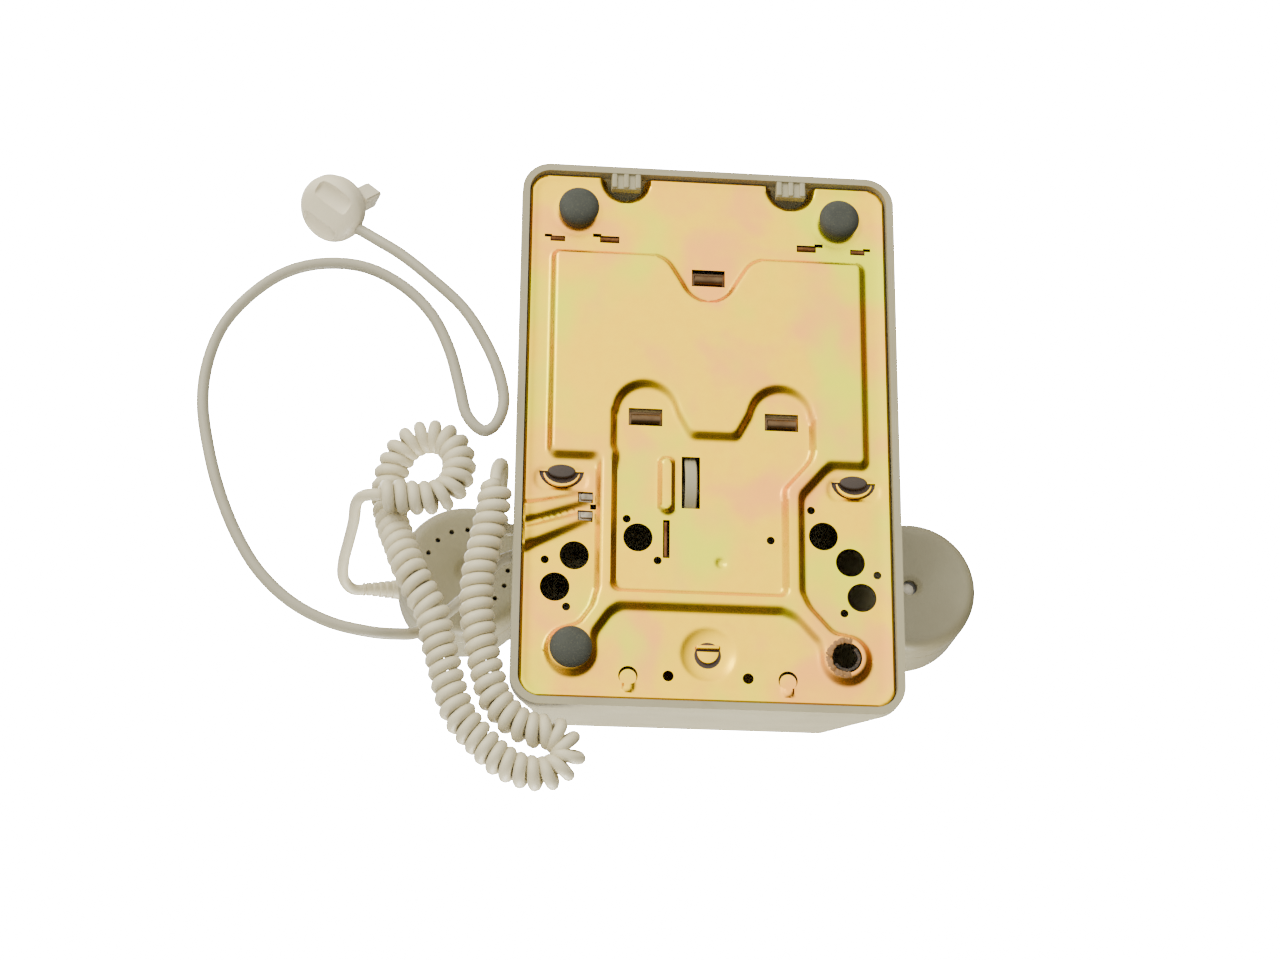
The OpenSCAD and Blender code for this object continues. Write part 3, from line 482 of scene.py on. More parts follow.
RELIEF_TURN = math.radians(174)
RELIEF_DROP = math.radians(14)
RELIEF_L = 15.0
CUP_X = 86.9
HANDSET_Y = 38.0
RELIEF_Z = 88.0
relief_side = Vector((math.cos(RELIEF_TURN), math.sin(RELIEF_TURN), 0))
relief_way = math.cos(RELIEF_DROP) * relief_side - Vector((0, 0, math.sin(RELIEF_DROP)))
relief_foot = mm(-CUP_X, HANDSET_Y, RELIEF_Z) + 25.2 * MM * relief_side
relief_tip = relief_foot + RELIEF_L * MM * relief_way

tail_route = [relief_tip - 2 * MM * relief_way, relief_tip + 4 * MM * relief_way] + route(
    COIL_REST,
    (-134, 40, 78), (-134, 37, 66), (-132, 34, 50), (-130, 32, 32), (-129, 30, 17), (-126, 29.8, 8.5),
)
coil_route = route(
    COIL_REST,
    (-120, 30), (-113, 30.4), (-106, 30.6), (-100.5, 30), (-96, 27.5, 7), (-92.8, 22, 8), (-92, 15, 10),
    (-94.5, 8, 12), (-100, 4, 14), (-106.5, 4, 16), (-112, 7, 18), (-115.5, 13, 20), (-117.5, 21, 21),
    (-117, 30, 20.5), (-115, 38.5, 17.5), (-112.5, 46, 13), (-110, 54, 9), (-106.5, 62), (-103, 68.5),
    (-99.5, 75), (-97.5, 84), (-95, 93), (-92.5, 102), (-88.6, 111.8), (-81.5, 120), (-74, 127),
    (-65, 131), (-56, 131), (-50, 124.5), (-54.5, 117.4), (-63, 115.8), (-70, 112.2), (-76.5, 104.5),
    (-79.8, 94), (-82.6, 82), (-84, 70), (-83.5, 58), (-81.3, 46), (-79.2, 34), (-78.6, 24),
)
coil_exit, line_exit = [mm(EXIT_X, y, EXIT_Z) for y in EXIT_YS]
coil_tail_route = route(
    COIL_REST,
    (-78.4, 19, 7.5), (-77.4, 15, 10.5), (-76, 13.6, 14), (-75.6, 16, 16.8), (-76, 22, 17.2),
    (-76.8, 30, 17), (-76.2, 35.5, 16.2), (-73.6, 38.2, 15.6),
) + [coil_exit]
line_route = route(
    CORD_REST,
    (-133, -78, 11.6), (-126, -73, 9.4), (-116, -65, 5), (-105, -55), (-93, -44), (-85, -32),
    (-79, -19), (-76.5, -7), (-79, 2), (-84, 5), (-90, -1), (-93, -12), (-97, -26), (-104, -40),
    (-115, -51), (-129, -58), (-144, -59), (-158, -55), (-170, -46), (-180, -33), (-185, -18),
    (-186, -2), (-183, 15), (-178, 32), (-171, 48), (-162, 62), (-150, 73), (-136, 80), (-122, 83),
    (-112, 82, 7.5), (-105, 79, 15), (-98, 74, 15.6), (-90, 67, 15.4), (-82, 59, 15.6),
    (-77, 51.5, 15.6),
) + [line_exit]

line_path = smooth_path(line_route, 4)
line_cord = cord_tube("line_cord_lead", line_path, CORD_D / 2 * MM, 4)
fit(line_cord, "root", wire_paint, ["line_cord"])


def coiled(centre, radius, pitch, points_per_turn):
    """A helix around a centre line; the turns start and end on the line itself."""
    line = even(centre, pitch / points_per_turn)
    made = []
    side = Vector((0, 0, 1))
    last = len(line) - 1
    for i, at in enumerate(line):
        way = (line[min(i + 1, last)] - line[max(i - 1, 0)]).normalized()
        side = (side - side.dot(way) * way).normalized()
        angle = 2 * math.pi * i / points_per_turn
        ends = min(1.0, 2 * i / points_per_turn, 2 * (last - i) / points_per_turn)
        reach = radius * math.sin(ends * math.pi / 2)
        made.append(at + reach * (math.cos(angle) * side + math.sin(angle) * way.cross(side)))
    return made


COIL_PITCH = 4.75
coil_path = (
    smooth_path(tail_route + [coil_route[0]], 5)[:-1]
    + coiled(smooth_path(coil_route, 8), COIL_R * MM, COIL_PITCH * MM, 16)
    + smooth_path([coil_route[-1]] + coil_tail_route, 5)[1:]
)
coiled_cord = cord_tube("coiled_handset_cord", coil_path, WIRE_D / 2 * MM, 3)
dress(coiled_cord, cord_paint)
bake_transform(coiled_cord)
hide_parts("handset_tail", "coiled_cord", "coil_tail")
length_of(coil_path)


# ---------- base plate ----------

PLATE_X = 68.2
PLATE_Y = 103.2
PLATE_CORNER = 7.6
PLATE_Z = 8.0
SHEET_T = 1.2
EMBOSS = 3.0
WALL_RUN = 2.7
EDGE_ROLL = 1.6
CELL = 0.82

PINK_SPOTS = [(-2, -66, 8), (44, -48, 5), (-56, -78, 8), (-60, 70, 8), (30, 20, 8), (52, 80, 8)]
GREEN_SPOTS = [(22, -55, 5), (57, -70, 8), (-50, -45, 5), (50, -20, 5), (2, 40, 8), (62, 40, 8)]
# Directions used to paint light and shade on the plate's walls: painted shade on walls facing SHADY_SIDE,
# a painted darker orange band on walls facing LIT_SIDE.
SHADY_SIDE = (0.8, 0.55, 0.2)
LIT_SIDE = (-0.8, -0.55, 0.2)


def yellow_zinc():
    """Yellow passivated zinc: gold that runs to pink and green, with painted shade on the walls that face
    one side and a painted darker orange band on the walls that face the other.
    """
    paint = Paint("yellow_zinc", Metallic=1.0)
    pink = paint.noise(30, 2, 0.5, twist=0.6)
    green = paint.noise(24, 2, 0.5, at=paint.spot(mm(40, 25, 0), mm(26, 34, 20)))
    haze = paint.noise(5, 5, 0.65)
    for spot in PINK_SPOTS:
        pink = pink + 0.22 * paint.patch(spot, 26)
    for spot in GREEN_SPOTS:
        green = green + 0.2 * paint.patch(spot, 24)
    skin = paint.mix((haze - 0.3) * 1.2, tone(255, 208, 10), tone(252, 196, 8))
    skin = paint.mix((pink + 0.1 * haze).between(0.5, 0.82), skin, tone(255, 174, 74))
    skin = paint.mix((green + 0.1 * haze).between(0.52, 0.86), skin, tone(224, 222, 12))
    stain = (paint.noise(1.8, 6, 0.75) - 0.62) * 4.0
    skin = paint.mix(stain.between(0.0, 1.0) * 0.3, skin, tone(150, 110, 48))
    # Painted light and shade: walls facing LIT_SIDE are tinted a darker orange, walls facing SHADY_SIDE
    # are painted dark as shade.
    glow = paint.facing(LIT_SIDE).between(0.3, 0.8)
    skin = paint.mix(glow * 0.4, skin, tone(206, 138, 40))
    painted_wall_shade = paint.facing(SHADY_SIDE).between(0.05, 0.6)
    paint.set("Base Color", paint.mix(painted_wall_shade * 0.85, skin, tone(104, 70, 16)))
    fine = paint.noise(0.6, 4, 0.7)
    paint.set("Roughness", 0.2 + 0.14 * haze + 0.08 * fine)
    paint.bump(fine + 2.0 * paint.noise(14, 2), 0.012)
    return paint


plate_paint = yellow_zinc()


def box_gap(x, y, x0, x1, y0, y1, round_r=0.0):
    """Distance to a rounded rectangle, below 0 inside it."""
    dx = np.abs(x - (x0 + x1) / 2) - (x1 - x0) / 2 + round_r
    dy = np.abs(y - (y0 + y1) / 2) - (y1 - y0) / 2 + round_r
    return np.hypot(np.maximum(dx, 0), np.maximum(dy, 0)) + np.minimum(np.maximum(dx, dy), 0) - round_r


def line_gap(x, y, a, b, half):
    """Distance to a straight rib of a half width with round ends."""
    along = np.clip(
        ((x - a[0]) * (b[0] - a[0]) + (y - a[1]) * (b[1] - a[1])) / math.dist(a, b) ** 2, 0, 1
    )
    return np.hypot(x - a[0] - along * (b[0] - a[0]), y - a[1] - along * (b[1] - a[1])) - half


def disc_gap(x, y, at, radius):
    """Distance to a disc, below 0 inside it."""
    return np.hypot(x - at[0], y - at[1]) - radius


def melt(first, second, run):
    """The union of two shapes with a fillet where they meet."""
    share = np.clip(0.5 + 0.5 * (second - first) / run, 0, 1)
    return second * (1 - share) + first * share - run * share * (1 - share)


def carve(shape, hole, run):
    """A shape with a hole taken out of it, filleted."""
    return -melt(-shape, hole, run)


def step(gap, run=WALL_RUN):
    """From 1 inside a shape to 0 outside it, with a rounded wall between."""
    t = np.clip(0.5 - gap / run, 0, 1)
    return 0.6 * t * t * (3 - 2 * t) + 0.4 * t


LUG_X = 31.8
NOTCHES = [(-LUG_X, -102.5), (LUG_X, -102.5)]
NOTCH_R = 7.4
FOOT_HOLE_R = 5.3
BIG_HOLE_R, SMALL_HOLE_R, SCREW_HOLE_R, KEY_HOLE_R = 5.4, 1.5, 2.0, 3.5
FEET = [(-50.0, -88.0), (50.0, -88.0), (-50.0, 85.7)]
BARE_BOSS = (50.0, 85.7)
BOSS_R = 8.6
CATCH = (0.0, 85.5)
CLIPS = [(0.0, -62.7), (-23.5, -5.2), (27.5, -5.2)]
BUTTON_X, BUTTON_Y = 54.3, 17.6
KEY_X = 29.0
BIG_HOLES = [(-25.9, 42), (-49.1, 49.8), (-56, 62), (42.7, 38.9), (52.6, 48.7), (56.6, 62)]
SMALL_HOLES = [
    (-30.1, 35), (-18.6, 50.6), (-59.8, 51.8), (-51.7, 69.4), (38.2, 29), (23.1, 41.3), (62.5, 53.2),
    (50, 68.2),
]
SCREW_HOLES = [(-14.5, 94.0), (14.5, 94.0)]


def relief_gap(x, y):
    """Distance to the pressed platform and its ribs."""
    shape = box_gap(x, y, -59, 59, -71, 11.4, 2.6)
    front = disc_gap(x, y, (0, -62), 9.6)
    for side in (-1, 1):
        front = melt(front, line_gap(x, y, (side * 2, -62), (side * 11, -76.8), 8.0), 1)
    shape = carve(shape, front, 5)
    bays = box_gap(x, y, -20, 30, 1.8, 60, 2)
    for side, middle in ((-1, -23.4), (1, 27.0)):
        bay = box_gap(x, y, middle - 11.4, middle + 11.4, 2, 40, 3)
        bay = melt(bay, disc_gap(x, y, (middle, -6.6), 11.4), 1)
        bay = melt(bay, box_gap(x, y, middle + side * 6 - 6, middle + side * 6 + 6, -7, 12, 1), 1)
        slant = line_gap(x, y, (middle - side * 4, -6), (middle - side * 12, 9), 7.4)
        bays = melt(bays, melt(bay, slant, 1), 2)
    shape = carve(shape, bays, 4)
    ribs = box_gap(x, y, -40.5, -34.9, 9, 67, 1)
    for rib, run in (
        (box_gap(x, y, 28.4, 34.4, 22, 67, 2), 2),
        (line_gap(x, y, (31.6, 22.5), (41.5, 11), 3.1), 1.5),
        (box_gap(x, y, -39, 33, 62.8, 68.6, 2), 3),
        (line_gap(x, y, (-37.5, 67.5), FEET[2], 3.2), 4),
        (line_gap(x, y, (32.5, 66.5), BARE_BOSS, 3.2), 4),
        (disc_gap(x, y, FEET[2], BOSS_R), 4),
        (disc_gap(x, y, BARE_BOSS, BOSS_R), 4),
    ):
        ribs = melt(ribs, rib, run)
    return melt(shape, ribs, 3)


def channel(x, y, start, end):
    """A wedge over a cord, which narrows and sinks from the edge of the plate to its clamp."""
    along = np.clip((x - start[0]) / (end[0] - start[0]), 0, 1)
    gap = line_gap(x, y, start, end, 0) - 4.2 + 2.4 * along
    return 3.6 * step(gap, 3.4) * (1 - 0.55 * along)


def press_depth(x, y):
    """How far the sheet is pressed down towards the table, in millimetres."""
    facing = relief_gap(x, y + 0.5) - relief_gap(x, y - 0.5)
    run = WALL_RUN + np.clip(facing, 0, 1) - 0.5 * np.clip(-facing, 0, 1)
    depth = EMBOSS * step(relief_gap(x, y), run)
    pill = line_gap(x, y, (-15.6, 13.2), (-15.6, 29.6), 2.5)
    depth += 2.4 * step(pill, 2.0)
    depth += channel(x, y, (-72, 35.9), (-46.5, 28.2))
    depth += channel(x, y, (-72, 45.6), (-46.5, 35.5))
    depth -= 1.9 * np.clip(1 - (np.hypot(x - CATCH[0], y - CATCH[1]) / 10.4) ** 3, 0, 1)
    depth -= 0.9 * step(disc_gap(x, y, (4.7, 50.7), 1.6), 1.8)
    for foot in FEET[:2]:
        depth += 0.3 * step(disc_gap(x, y, foot, 8.8), 1.8)
    depth += 0.1 * step(line_gap(x, y, (-34, -80.6), (22, -79.4), 0.2), 0.9)
    edge = box_gap(x, y, -PLATE_X, PLATE_X, -PLATE_Y, PLATE_Y, PLATE_CORNER)
    depth += 1.1 * np.clip(1 + edge / 5, 0, 1) ** 2
    roll = np.clip(1 + edge / EDGE_ROLL, 0, 1)
    depth -= EDGE_ROLL * 0.8 * (1 - np.sqrt(np.maximum(0, 1 - roll**2)))
    for notch in NOTCHES:
        depth -= 3.4 * step(disc_gap(x, y, notch, 8.6), 2.6)
    for side in (-1, 1):
        middle, key = side * BUTTON_X, side * KEY_X
        depth -= 0.6 * step(box_gap(x, y, middle - 9.6, middle + 9.6, 16.2, 24.8, 3.6), 2.0)
        depth += 1.1 * step(line_gap(x, y, (key, 96.8), (key, 98.6), 1.9), 0.9)
    return depth


def lens(x, y, length, width):
    """A half-moon cutter: a straight side and a bowed one."""
    low, high = -4, 20
    outline = [mm(x - length / 2, y, low)]
    for i in range(12):
        a = math.pi * i / 12
        outline.append(mm(x + length / 2 * math.cos(a), y + width * math.sin(a), low))
    return prism("slot", outline, mm(0, 0, high - low))


def slot(x, y, half_x, half_y):
    return block("slot", mm(x - half_x, y - half_y, -4), mm(x + half_x, y + half_y, 20))


def plate_cutters():
    """The tools that pierce the plate, and then the slots that overlap some of them."""
    made = []
    for holes, radius in (
        (BIG_HOLES, BIG_HOLE_R), (SMALL_HOLES, SMALL_HOLE_R), (SCREW_HOLES, SCREW_HOLE_R),
        (NOTCHES, NOTCH_R), (FEET, FOOT_HOLE_R), ([BARE_BOSS], 5.7),
        ([(-KEY_X, 94.3), (KEY_X, 94.3)], KEY_HOLE_R),
    ):
        made += [barrel("hole", mm(*at, PLATE_Z), radius * MM, 26 * MM, sides=40) for at in holes]
    made += [slot(x, y, 6.3, 3.4) for x, y in CLIPS]
    wheel_slot, lip_slot, cord_slot = (-6.5, 20, 3.4, 10.1), (-15.45, 42.2, 1.25, 7.3), (-42.5, 31, 1.1, 1)
    made += [slot(*wheel_slot), slot(*lip_slot), slot(*cord_slot)]
    made += [slot(-45.4, y, 2.8, 2.1) for y in (27.4, 34.6)]
    made.append(lens(0, 82.4, 9.0, 6.8))
    rest = []
    for side in (-1, 1):
        made.append(lens(side * BUTTON_X, 17.4, 16.6, 6.6))
        made += [slot(side * 61.2, -77.6, 1.4, 0.6), slot(side * 42.6, -78.5, 1.6, 0.7)]
        rest += [slot(side * 57.6, -76.5, 2.8, 1.1), slot(side * 37.8, -77.0, 3.7, 1.4)]
    return join("plate_holes", made), join("plate_slots", rest)


def press_plate():
    """The base plate: a sheet pressed over its platform and ribs, trimmed and pierced."""
    columns = round(2 * PLATE_X / CELL)
    rows = round(2 * PLATE_Y / CELL)
    bpy.ops.mesh.primitive_grid_add(x_subdivisions=columns, y_subdivisions=rows, size=1)
    piece = named("pressed_base_plate")
    piece.scale = mm(2 * PLATE_X, 2 * PLATE_Y, 1000)
    settle(piece)
    co = np.empty(len(piece.data.vertices) * 3)
    piece.data.vertices.foreach_get("co", co)
    co = co.reshape(-1, 3)
    co[:, 2] = (PLATE_Z - press_depth(co[:, 0] / MM, co[:, 1] / MM)) * MM
    piece.data.vertices.foreach_set("co", co.ravel())
    piece.data.update()
    edit(piece)
    take_all()
    bpy.ops.mesh.flip_normals()
    leave()
    modify(piece, "SOLIDIFY", thickness=SHEET_T * MM, offset=-1.0)
    trim = block("trim", mm(-PLATE_X, -PLATE_Y, -10), mm(PLATE_X, PLATE_Y, 30))
    edit(trim)
    choose_edges(trim, lambda a, b: abs(a.z - b.z) > 10 * MM)
    bpy.ops.mesh.bevel(offset=PLATE_CORNER * MM, segments=12)
    leave()
    combine(piece, trim, "INTERSECT")
    for cutters in plate_cutters():
        combine(piece, cutters)
    return smooth(piece, 40)


fit(press_plate(), "root", plate_paint, ["base_plate"])


# ---------- finishes of the metal and rubber parts ----------


def metal(name, base, worn, shine=0.35, cell=4.0):
    """Plain metal with fine lines and dull patches."""
    paint = Paint(name, Metallic=1.0)
    dull = paint.noise(cell, 4, 0.6)
    paint.set("Base Color", paint.mix(dull.between(0.3, 0.75), tone(*base), tone(*worn)))
    fine = paint.noise(0.5, 3, 0.7)
    paint.set("Roughness", shine + 0.16 * dull + 0.1 * fine)
    paint.bump(fine, 0.012)
    return paint


def matt(name, base, spots, shine=0.7, cell=1.4):
    """A dull non-metal with small spots."""
    paint = Paint(name, Roughness=shine)
    speck = paint.noise(cell, 6, 0.75)
    cloud = paint.noise(cell * 8, 3)
    skin = paint.mix(cloud.between(0.3, 0.7), tone(*base), tone(*[c * 0.88 for c in base]))
    paint.set("Base Color", paint.mix((speck - 0.52) * 2.4, skin, tone(*spots)))
    paint.set("Roughness", shine + 0.2 * (speck - 0.5))
    paint.bump(speck + cloud, 0.05)
    return paint


bright_metal = metal("zinc_plated_steel", (206, 204, 196), (160, 156, 144))
clamp_paint = metal("clamp_steel", (176, 166, 144), (122, 112, 92), 0.42, 3.0)
steel_paint = metal("dull_steel", (150, 150, 145), (112, 110, 104), 0.4)
clip_paint = metal("bronzed_spring", (104, 84, 60), (84, 64, 44), 0.26, 9.0)
brass_paint = metal("brass", (206, 170, 92), (160, 124, 62), 0.3)
copper_paint = metal("coil_copper", (168, 84, 50), (120, 56, 34), 0.42, 1.2)
button_paint = matt("button_grey", (50, 36, 22), (64, 48, 32), 0.55)
# Dark brown for what sits behind the plate's slots: painted shade.
slot_shade_paint = matt("slot_brown_painted_shade", (52, 34, 20), (86, 58, 32), 0.6)
rubber_paint = matt("foot_rubber_dark", (58, 60, 50), (104, 102, 80), 0.8, 0.9)
torn_paint = matt("torn_rubber", (52, 44, 32), (150, 104, 44), 0.75, 1.6)
glue_paint = matt("amber_glue", (150, 104, 48), (96, 74, 42), 0.6, 2.0)
lanced_paint = metal("lanced_edge", (124, 84, 50), (84, 52, 28), 0.4, 3.0)
board_paint = matt("board_brown", (138, 118, 66), (110, 88, 44), 0.55)
part_paint = matt("moulded_brown", (126, 96, 60), (92, 66, 38), 0.55)
pale_part_paint = matt("moulded_pale", (214, 206, 182), (180, 170, 140), 0.5)
capsule_paint = matt("capsule_grey", (142, 140, 132), (112, 108, 98), 0.5)


# ---------- housing ----------

BODY_HALF_W = 71.5
BODY_HALF_L = 106.5
RIM_Z = 5.0
BODY_CORNER = 11.0
WALL = 2.8
EDGE_R = 9.0
SIDE_LEAN = 14.0
DECK_H = 83.0
NOSE_Y, NOSE_Z = -90.25, 19.0
DECK_Y, DECK_Z = 8.0, 74.0
REAR_Y = 87.5
FOOT_H = 6.0
DIAL_CENTRE = mm(0, -45.521, 54.353)
DIAL_SLOPE = math.radians(29.23995)
CRADLE_X = 46.0
SADDLE_Z = 90.0
HORN_Z = 103.0
SADDLE_R = 16.0
ACROSS = (0, math.pi / 2, 0)

at_dial = Matrix.Translation(DIAL_CENTRE) @ Matrix.Rotation(DIAL_SLOPE, 4, "X")


def half_w_at(z):
    """Half the width of the body at a height, in millimetres."""
    return BODY_HALF_W - SIDE_LEAN * (z - RIM_Z) / (DECK_H - RIM_Z)


def wedge(name, inset, low):
    """The body drawn tight over its rounded corners, moved inwards by an inset."""
    parts = []
    for x in (-1, 1):
        for y in (-1, 1):
            at = mm(x * (BODY_HALF_W - BODY_CORNER), y * (BODY_HALF_L - BODY_CORNER), low + FOOT_H / 2)
            parts.append(barrel("corner", at, (BODY_CORNER - inset) * MM, FOOT_H * MM, sides=96))
        for y, z in ((NOSE_Y, NOSE_Z), (DECK_Y, DECK_Z), (REAR_Y, DECK_Z)):
            at = mm(x * (half_w_at(z) - EDGE_R), y, z)
            radius = (EDGE_R - inset) * MM
            bpy.ops.mesh.primitive_uv_sphere_add(segments=64, ring_count=32, radius=radius, location=at)
            parts.append(named("corner"))
    piece = join(name, parts)
    edit(piece)
    take_all()
    bpy.ops.mesh.convex_hull(face_threshold=0.02, shape_threshold=0.02)
    leave()
    return piece


def saddle(x):
    """A block of the cradle, with the round seat for the handle between its horns."""
    foot, top, sink = 26.0, 20.0, 1.6
    seat_z = SADDLE_Z + SADDLE_R
    reach = math.sqrt(SADDLE_R**2 - (seat_z - HORN_Z) ** 2)
    swing = math.asin(reach / SADDLE_R)
    outline = [(-foot, DECK_H - sink), (foot, DECK_H - sink), (top, HORN_Z)]
    for i in range(25):
        a = swing * (1 - 2 * i / 24)
        outline.append((SADDLE_R * math.sin(a), seat_z - SADDLE_R * math.cos(a)))
    outline.append((-top, HORN_Z))
    corners = [mm(x - 7.5, HANDSET_Y + y, z) for y, z in outline]
    return soften(prism("saddle", corners, mm(15, 0, 0)), 1.6, 4, 30)


def ribbed_lug(x):
    """A lug that holds the front of the base plate, with three ribs below it."""
    width, depth, rib = 11.4, 6.6, 1.1
    front = -BODY_HALF_L + WALL - 0.5
    high = mm(x + width / 2, front + depth, 9.6)
    lug = soften(block("lug", mm(x - width / 2, front, RIM_Z + rib), high), 0.5, 2)
    for i in (-1, 0, 1):
        middle = x + i * 4.5
        low = mm(middle - rib, front, RIM_Z + 0.2)
        high = mm(middle + rib, front + depth - 0.3, RIM_Z + rib + 0.6)
        combine(lug, soften(block("rib", low, high), 0.6, 3), "UNION")
    return lug


def make_housing():
    """The hollow body with its cradle, its dial opening, its cord exits and its front lugs."""
    piece = wedge("moulded_housing", 0, RIM_Z)
    combine(piece, wedge("hollow", WALL, RIM_Z - 0.5))
    edit(piece)
    choose_edges(piece, lambda a, b: max(a.z, b.z) < (RIM_Z + 0.01) * MM, 1.0)
    bpy.ops.mesh.bevel(offset=1.3 * MM, segments=4, clamp_overlap=True)
    leave()
    for x in (-1, 1):
        combine(piece, saddle(x * CRADLE_X), "UNION")
    opening = place(barrel("opening", (0, 0, 0), 33.5 * MM, 48 * MM, sides=128), at_dial)
    combine(piece, opening)
    for x in (-1, 1):
        low = mm(x * CRADLE_X - 4.4, HANDSET_Y - 3.9, DECK_H - 18)
        high = mm(x * CRADLE_X + 4.4, HANDSET_Y + 3.9, DECK_H + 18)
        combine(piece, block("well", low, high))
    for y in EXIT_YS:
        combine(piece, barrel("exit", mm(-68.5, y, EXIT_Z), 3.4 * MM, 13 * MM, ACROSS))
    for x in (-1, 1):
        combine(piece, ribbed_lug(x * LUG_X), "UNION")
    modify(smooth(piece, 32), "WEIGHTED_NORMAL", keep_sharp=True)
    return piece


fit(make_housing(), "root", shell_paint, ["housing"])


# ---------- what shows on the base plate ----------


def make_foot(at, seat):
    """A domed rubber foot under a seat, with its stem through the plate."""
    profile = [
        (0, 0.0), (2.6, 0.03), (4.6, 0.3), (6.0, 0.85), (7.0, 1.6), (7.55, 2.5), (7.7, 3.4),
        (7.5, 4.2), (6.9, seat - 0.1), (5.2, seat - 0.05), (5.2, seat + 1.25), (4.6, seat + 3.3),
        (0, seat + 3.4),
    ]
    return turning("rubber_foot", profile, moved(*at), 64, 50)


def ragged_ring(name, profile, start, sweep, steps, ease, tear, even, seed):
    """What is left around the hole where a foot came away: part of a ring with torn edges."""
    ring = draw_line(name, [mm(r, 0, z) for r, z in profile])
    take_all()
    bpy.ops.mesh.edge_face_add()
    take_all()
    bpy.ops.mesh.spin(steps=steps, angle=math.radians(sweep), center=(0, 0, 0), axis=(0, 0, 1))
    take_all()
    bpy.ops.mesh.vertices_smooth(factor=ease)
    bpy.ops.mesh.normals_make_consistent(inside=False)
    bpy.ops.transform.vertex_random(offset=tear * MM, uniform=even, normal=0.0, seed=seed)
    leave()
    turn = moved(*BARE_BOSS) @ Matrix.Rotation(math.radians(start), 4, "Z")
    return smooth(place(ring, turn), 60)


def make_clip(x, y):
    """A dark spring clip: a rolled barrel in its slot and two flat legs above the sheet."""
    at = mm(x, y + 0.7, 8.75)
    roll = barrel("clip", at, 2.0 * MM, 10.6 * MM, ACROSS, 40)
    combine(roll, barrel("clip", at, 1.3 * MM, 12 * MM, ACROSS, 40))
    combine(roll, block("trim", mm(x - 8, y - 3, 9.4), mm(x + 8, y + 4, 13)))
    legs = soften(block("clip", mm(x - 7.6, y - 2.5, 9.25), mm(x + 7.6, y + 2.5, 9.7)), 0.15, 2)
    return smooth(join("spring_clip", [roll, legs]), 40)


def oval(x, long, short, low, high):
    """A flat oval of a button or of what holds it."""
    turns = [2 * math.pi * i / 48 for i in range(48)]
    outline = [mm(x + long * math.cos(a), BUTTON_Y + short * math.sin(a), low) for a in turns]
    return prism("oval", outline, mm(0, 0, high - low))


TORN_RUBBER = [(3.9, 5.2), (5.1, 5.0), (5.15, 7.4), (4.4, 7.6)]
GLUE_SKIN = [(5.35, 5.6), (5.4, 4.75), (6.5, 4.55), (7.5, 5.1)]

feet = join("domed_feet", [make_foot(FEET[0], 8.0), make_foot(FEET[1], 8.0), make_foot(FEET[2], 5.0)])
fit(feet, "root", rubber_paint, ["rubber_feet"])
torn_foot = ragged_ring("torn_foot_ring", TORN_RUBBER, 150, 200, 46, 0.2, 0.35, 0.1, 4)
fit(torn_foot, "root", torn_paint, ["torn_foot"])
glue = ragged_ring("torn_foot_glue", GLUE_SKIN, -70, 215, 50, 0.0, 0.5, 0.2, 9)
fit(glue, "root", glue_paint)
clips = join("spring_clips", [make_clip(x, y) for x, y in CLIPS])
fit(clips, "root", clip_paint, ["plate_clips"])
buttons = [soften(oval(side * BUTTON_X, 5.2, 2.7, 7.25, 9.15), 0.8, 4, 30) for side in (-1, 1)]
fit(smooth(join("oval_buttons", buttons), 40), "root", button_paint, ["plate_buttons"])
# The leaves behind the buttons are painted dark brown as the shade in their slots.
leaves = [oval(side * BUTTON_X, 9.6, 5.4, 9.25, 10.55) for side in (-1, 1)]
fit(smooth(join("button_leaves", leaves), 40), "root", slot_shade_paint)


def tongue(at, half, bow, length, low, high):
    """A tongue of sheet with one bowed end and square shoulders."""
    outline = []
    if length:
        outline = [mm(at[0] + half, at[1] - length, low), mm(at[0] - half, at[1] - length, low)]
    for i in range(12, -1, -1):
        a = math.pi * i / 12
        outline.append(mm(at[0] + half * math.cos(a), at[1] + bow * math.sin(a), low))
    return soften(prism("tongue", outline, mm(0, 0, high - low)), 0.3, 3, 50)


def crescent(at, half, bow, thick, low, high):
    """A curled lip of sheet along the bowed side of a slot."""
    lip = tongue(at, half, bow, 0.0, low, high)
    combine(lip, tongue((at[0], at[1] - thick), half - 0.3, bow, 2.0, low - 1, high + 1))
    return lip


def plate_tabs():
    """The tongues and lips around the slots of the plate."""
    x, y = CATCH
    lips = [tongue((x, y - 1.0), 4.0, 4.2, 0.3, 8.6, 9.9)]
    lips.append(soften(block("bar", mm(x - 4.4, y - 3.6, 7.9), mm(x + 4.4, y - 2.0, 9.4)), 0.6, 4))
    for side in (-1, 1):
        lips.append(barrel("tab", mm(side * KEY_X, 95.0, 8.7), 3.05 * MM, 1.3 * MM, sides=40))
        lips.append(crescent((side * BUTTON_X, BUTTON_Y + 1), 6.8, 5.2, 1.1, 6.9, 8.4))
    return smooth(join("plate_lips", lips), 50)


def lanced_tabs():
    """Small rolled tabs of dark metal in the slots of the plate."""
    rolls = []
    for side in (-1, 1):
        for x, half, y in ((57.6, 2.5, -76.6), (37.8, 3.4, -77.1)):
            at = mm(side * x, y, 8.7)
            rolls.append(barrel("roll", at, 0.95 * MM, 2 * half * MM, ACROSS, 24))
    rolls.append(soften(block("lip", mm(-16.3, 35.6, 8.0), mm(-15.0, 49.2, 9.6)), 0.4, 3))
    return smooth(join("lanced_rolls", rolls), 40)


fit(plate_tabs(), "root", plate_paint)
fit(lanced_tabs(), "root", lanced_paint)


# the hook of the housing behind its hole in the plate, painted dark brown as the shade in the hole
hook_profile = [(0, 9.7), (6.5, 9.7), (6.5, 10.7), (2.6, 10.8), (2.6, 18.2), (0, 18.2)]
catch = turning("catch", hook_profile, moved(*CATCH), 48, 40)
fit(catch, "root", slot_shade_paint, ["housing_catch"])


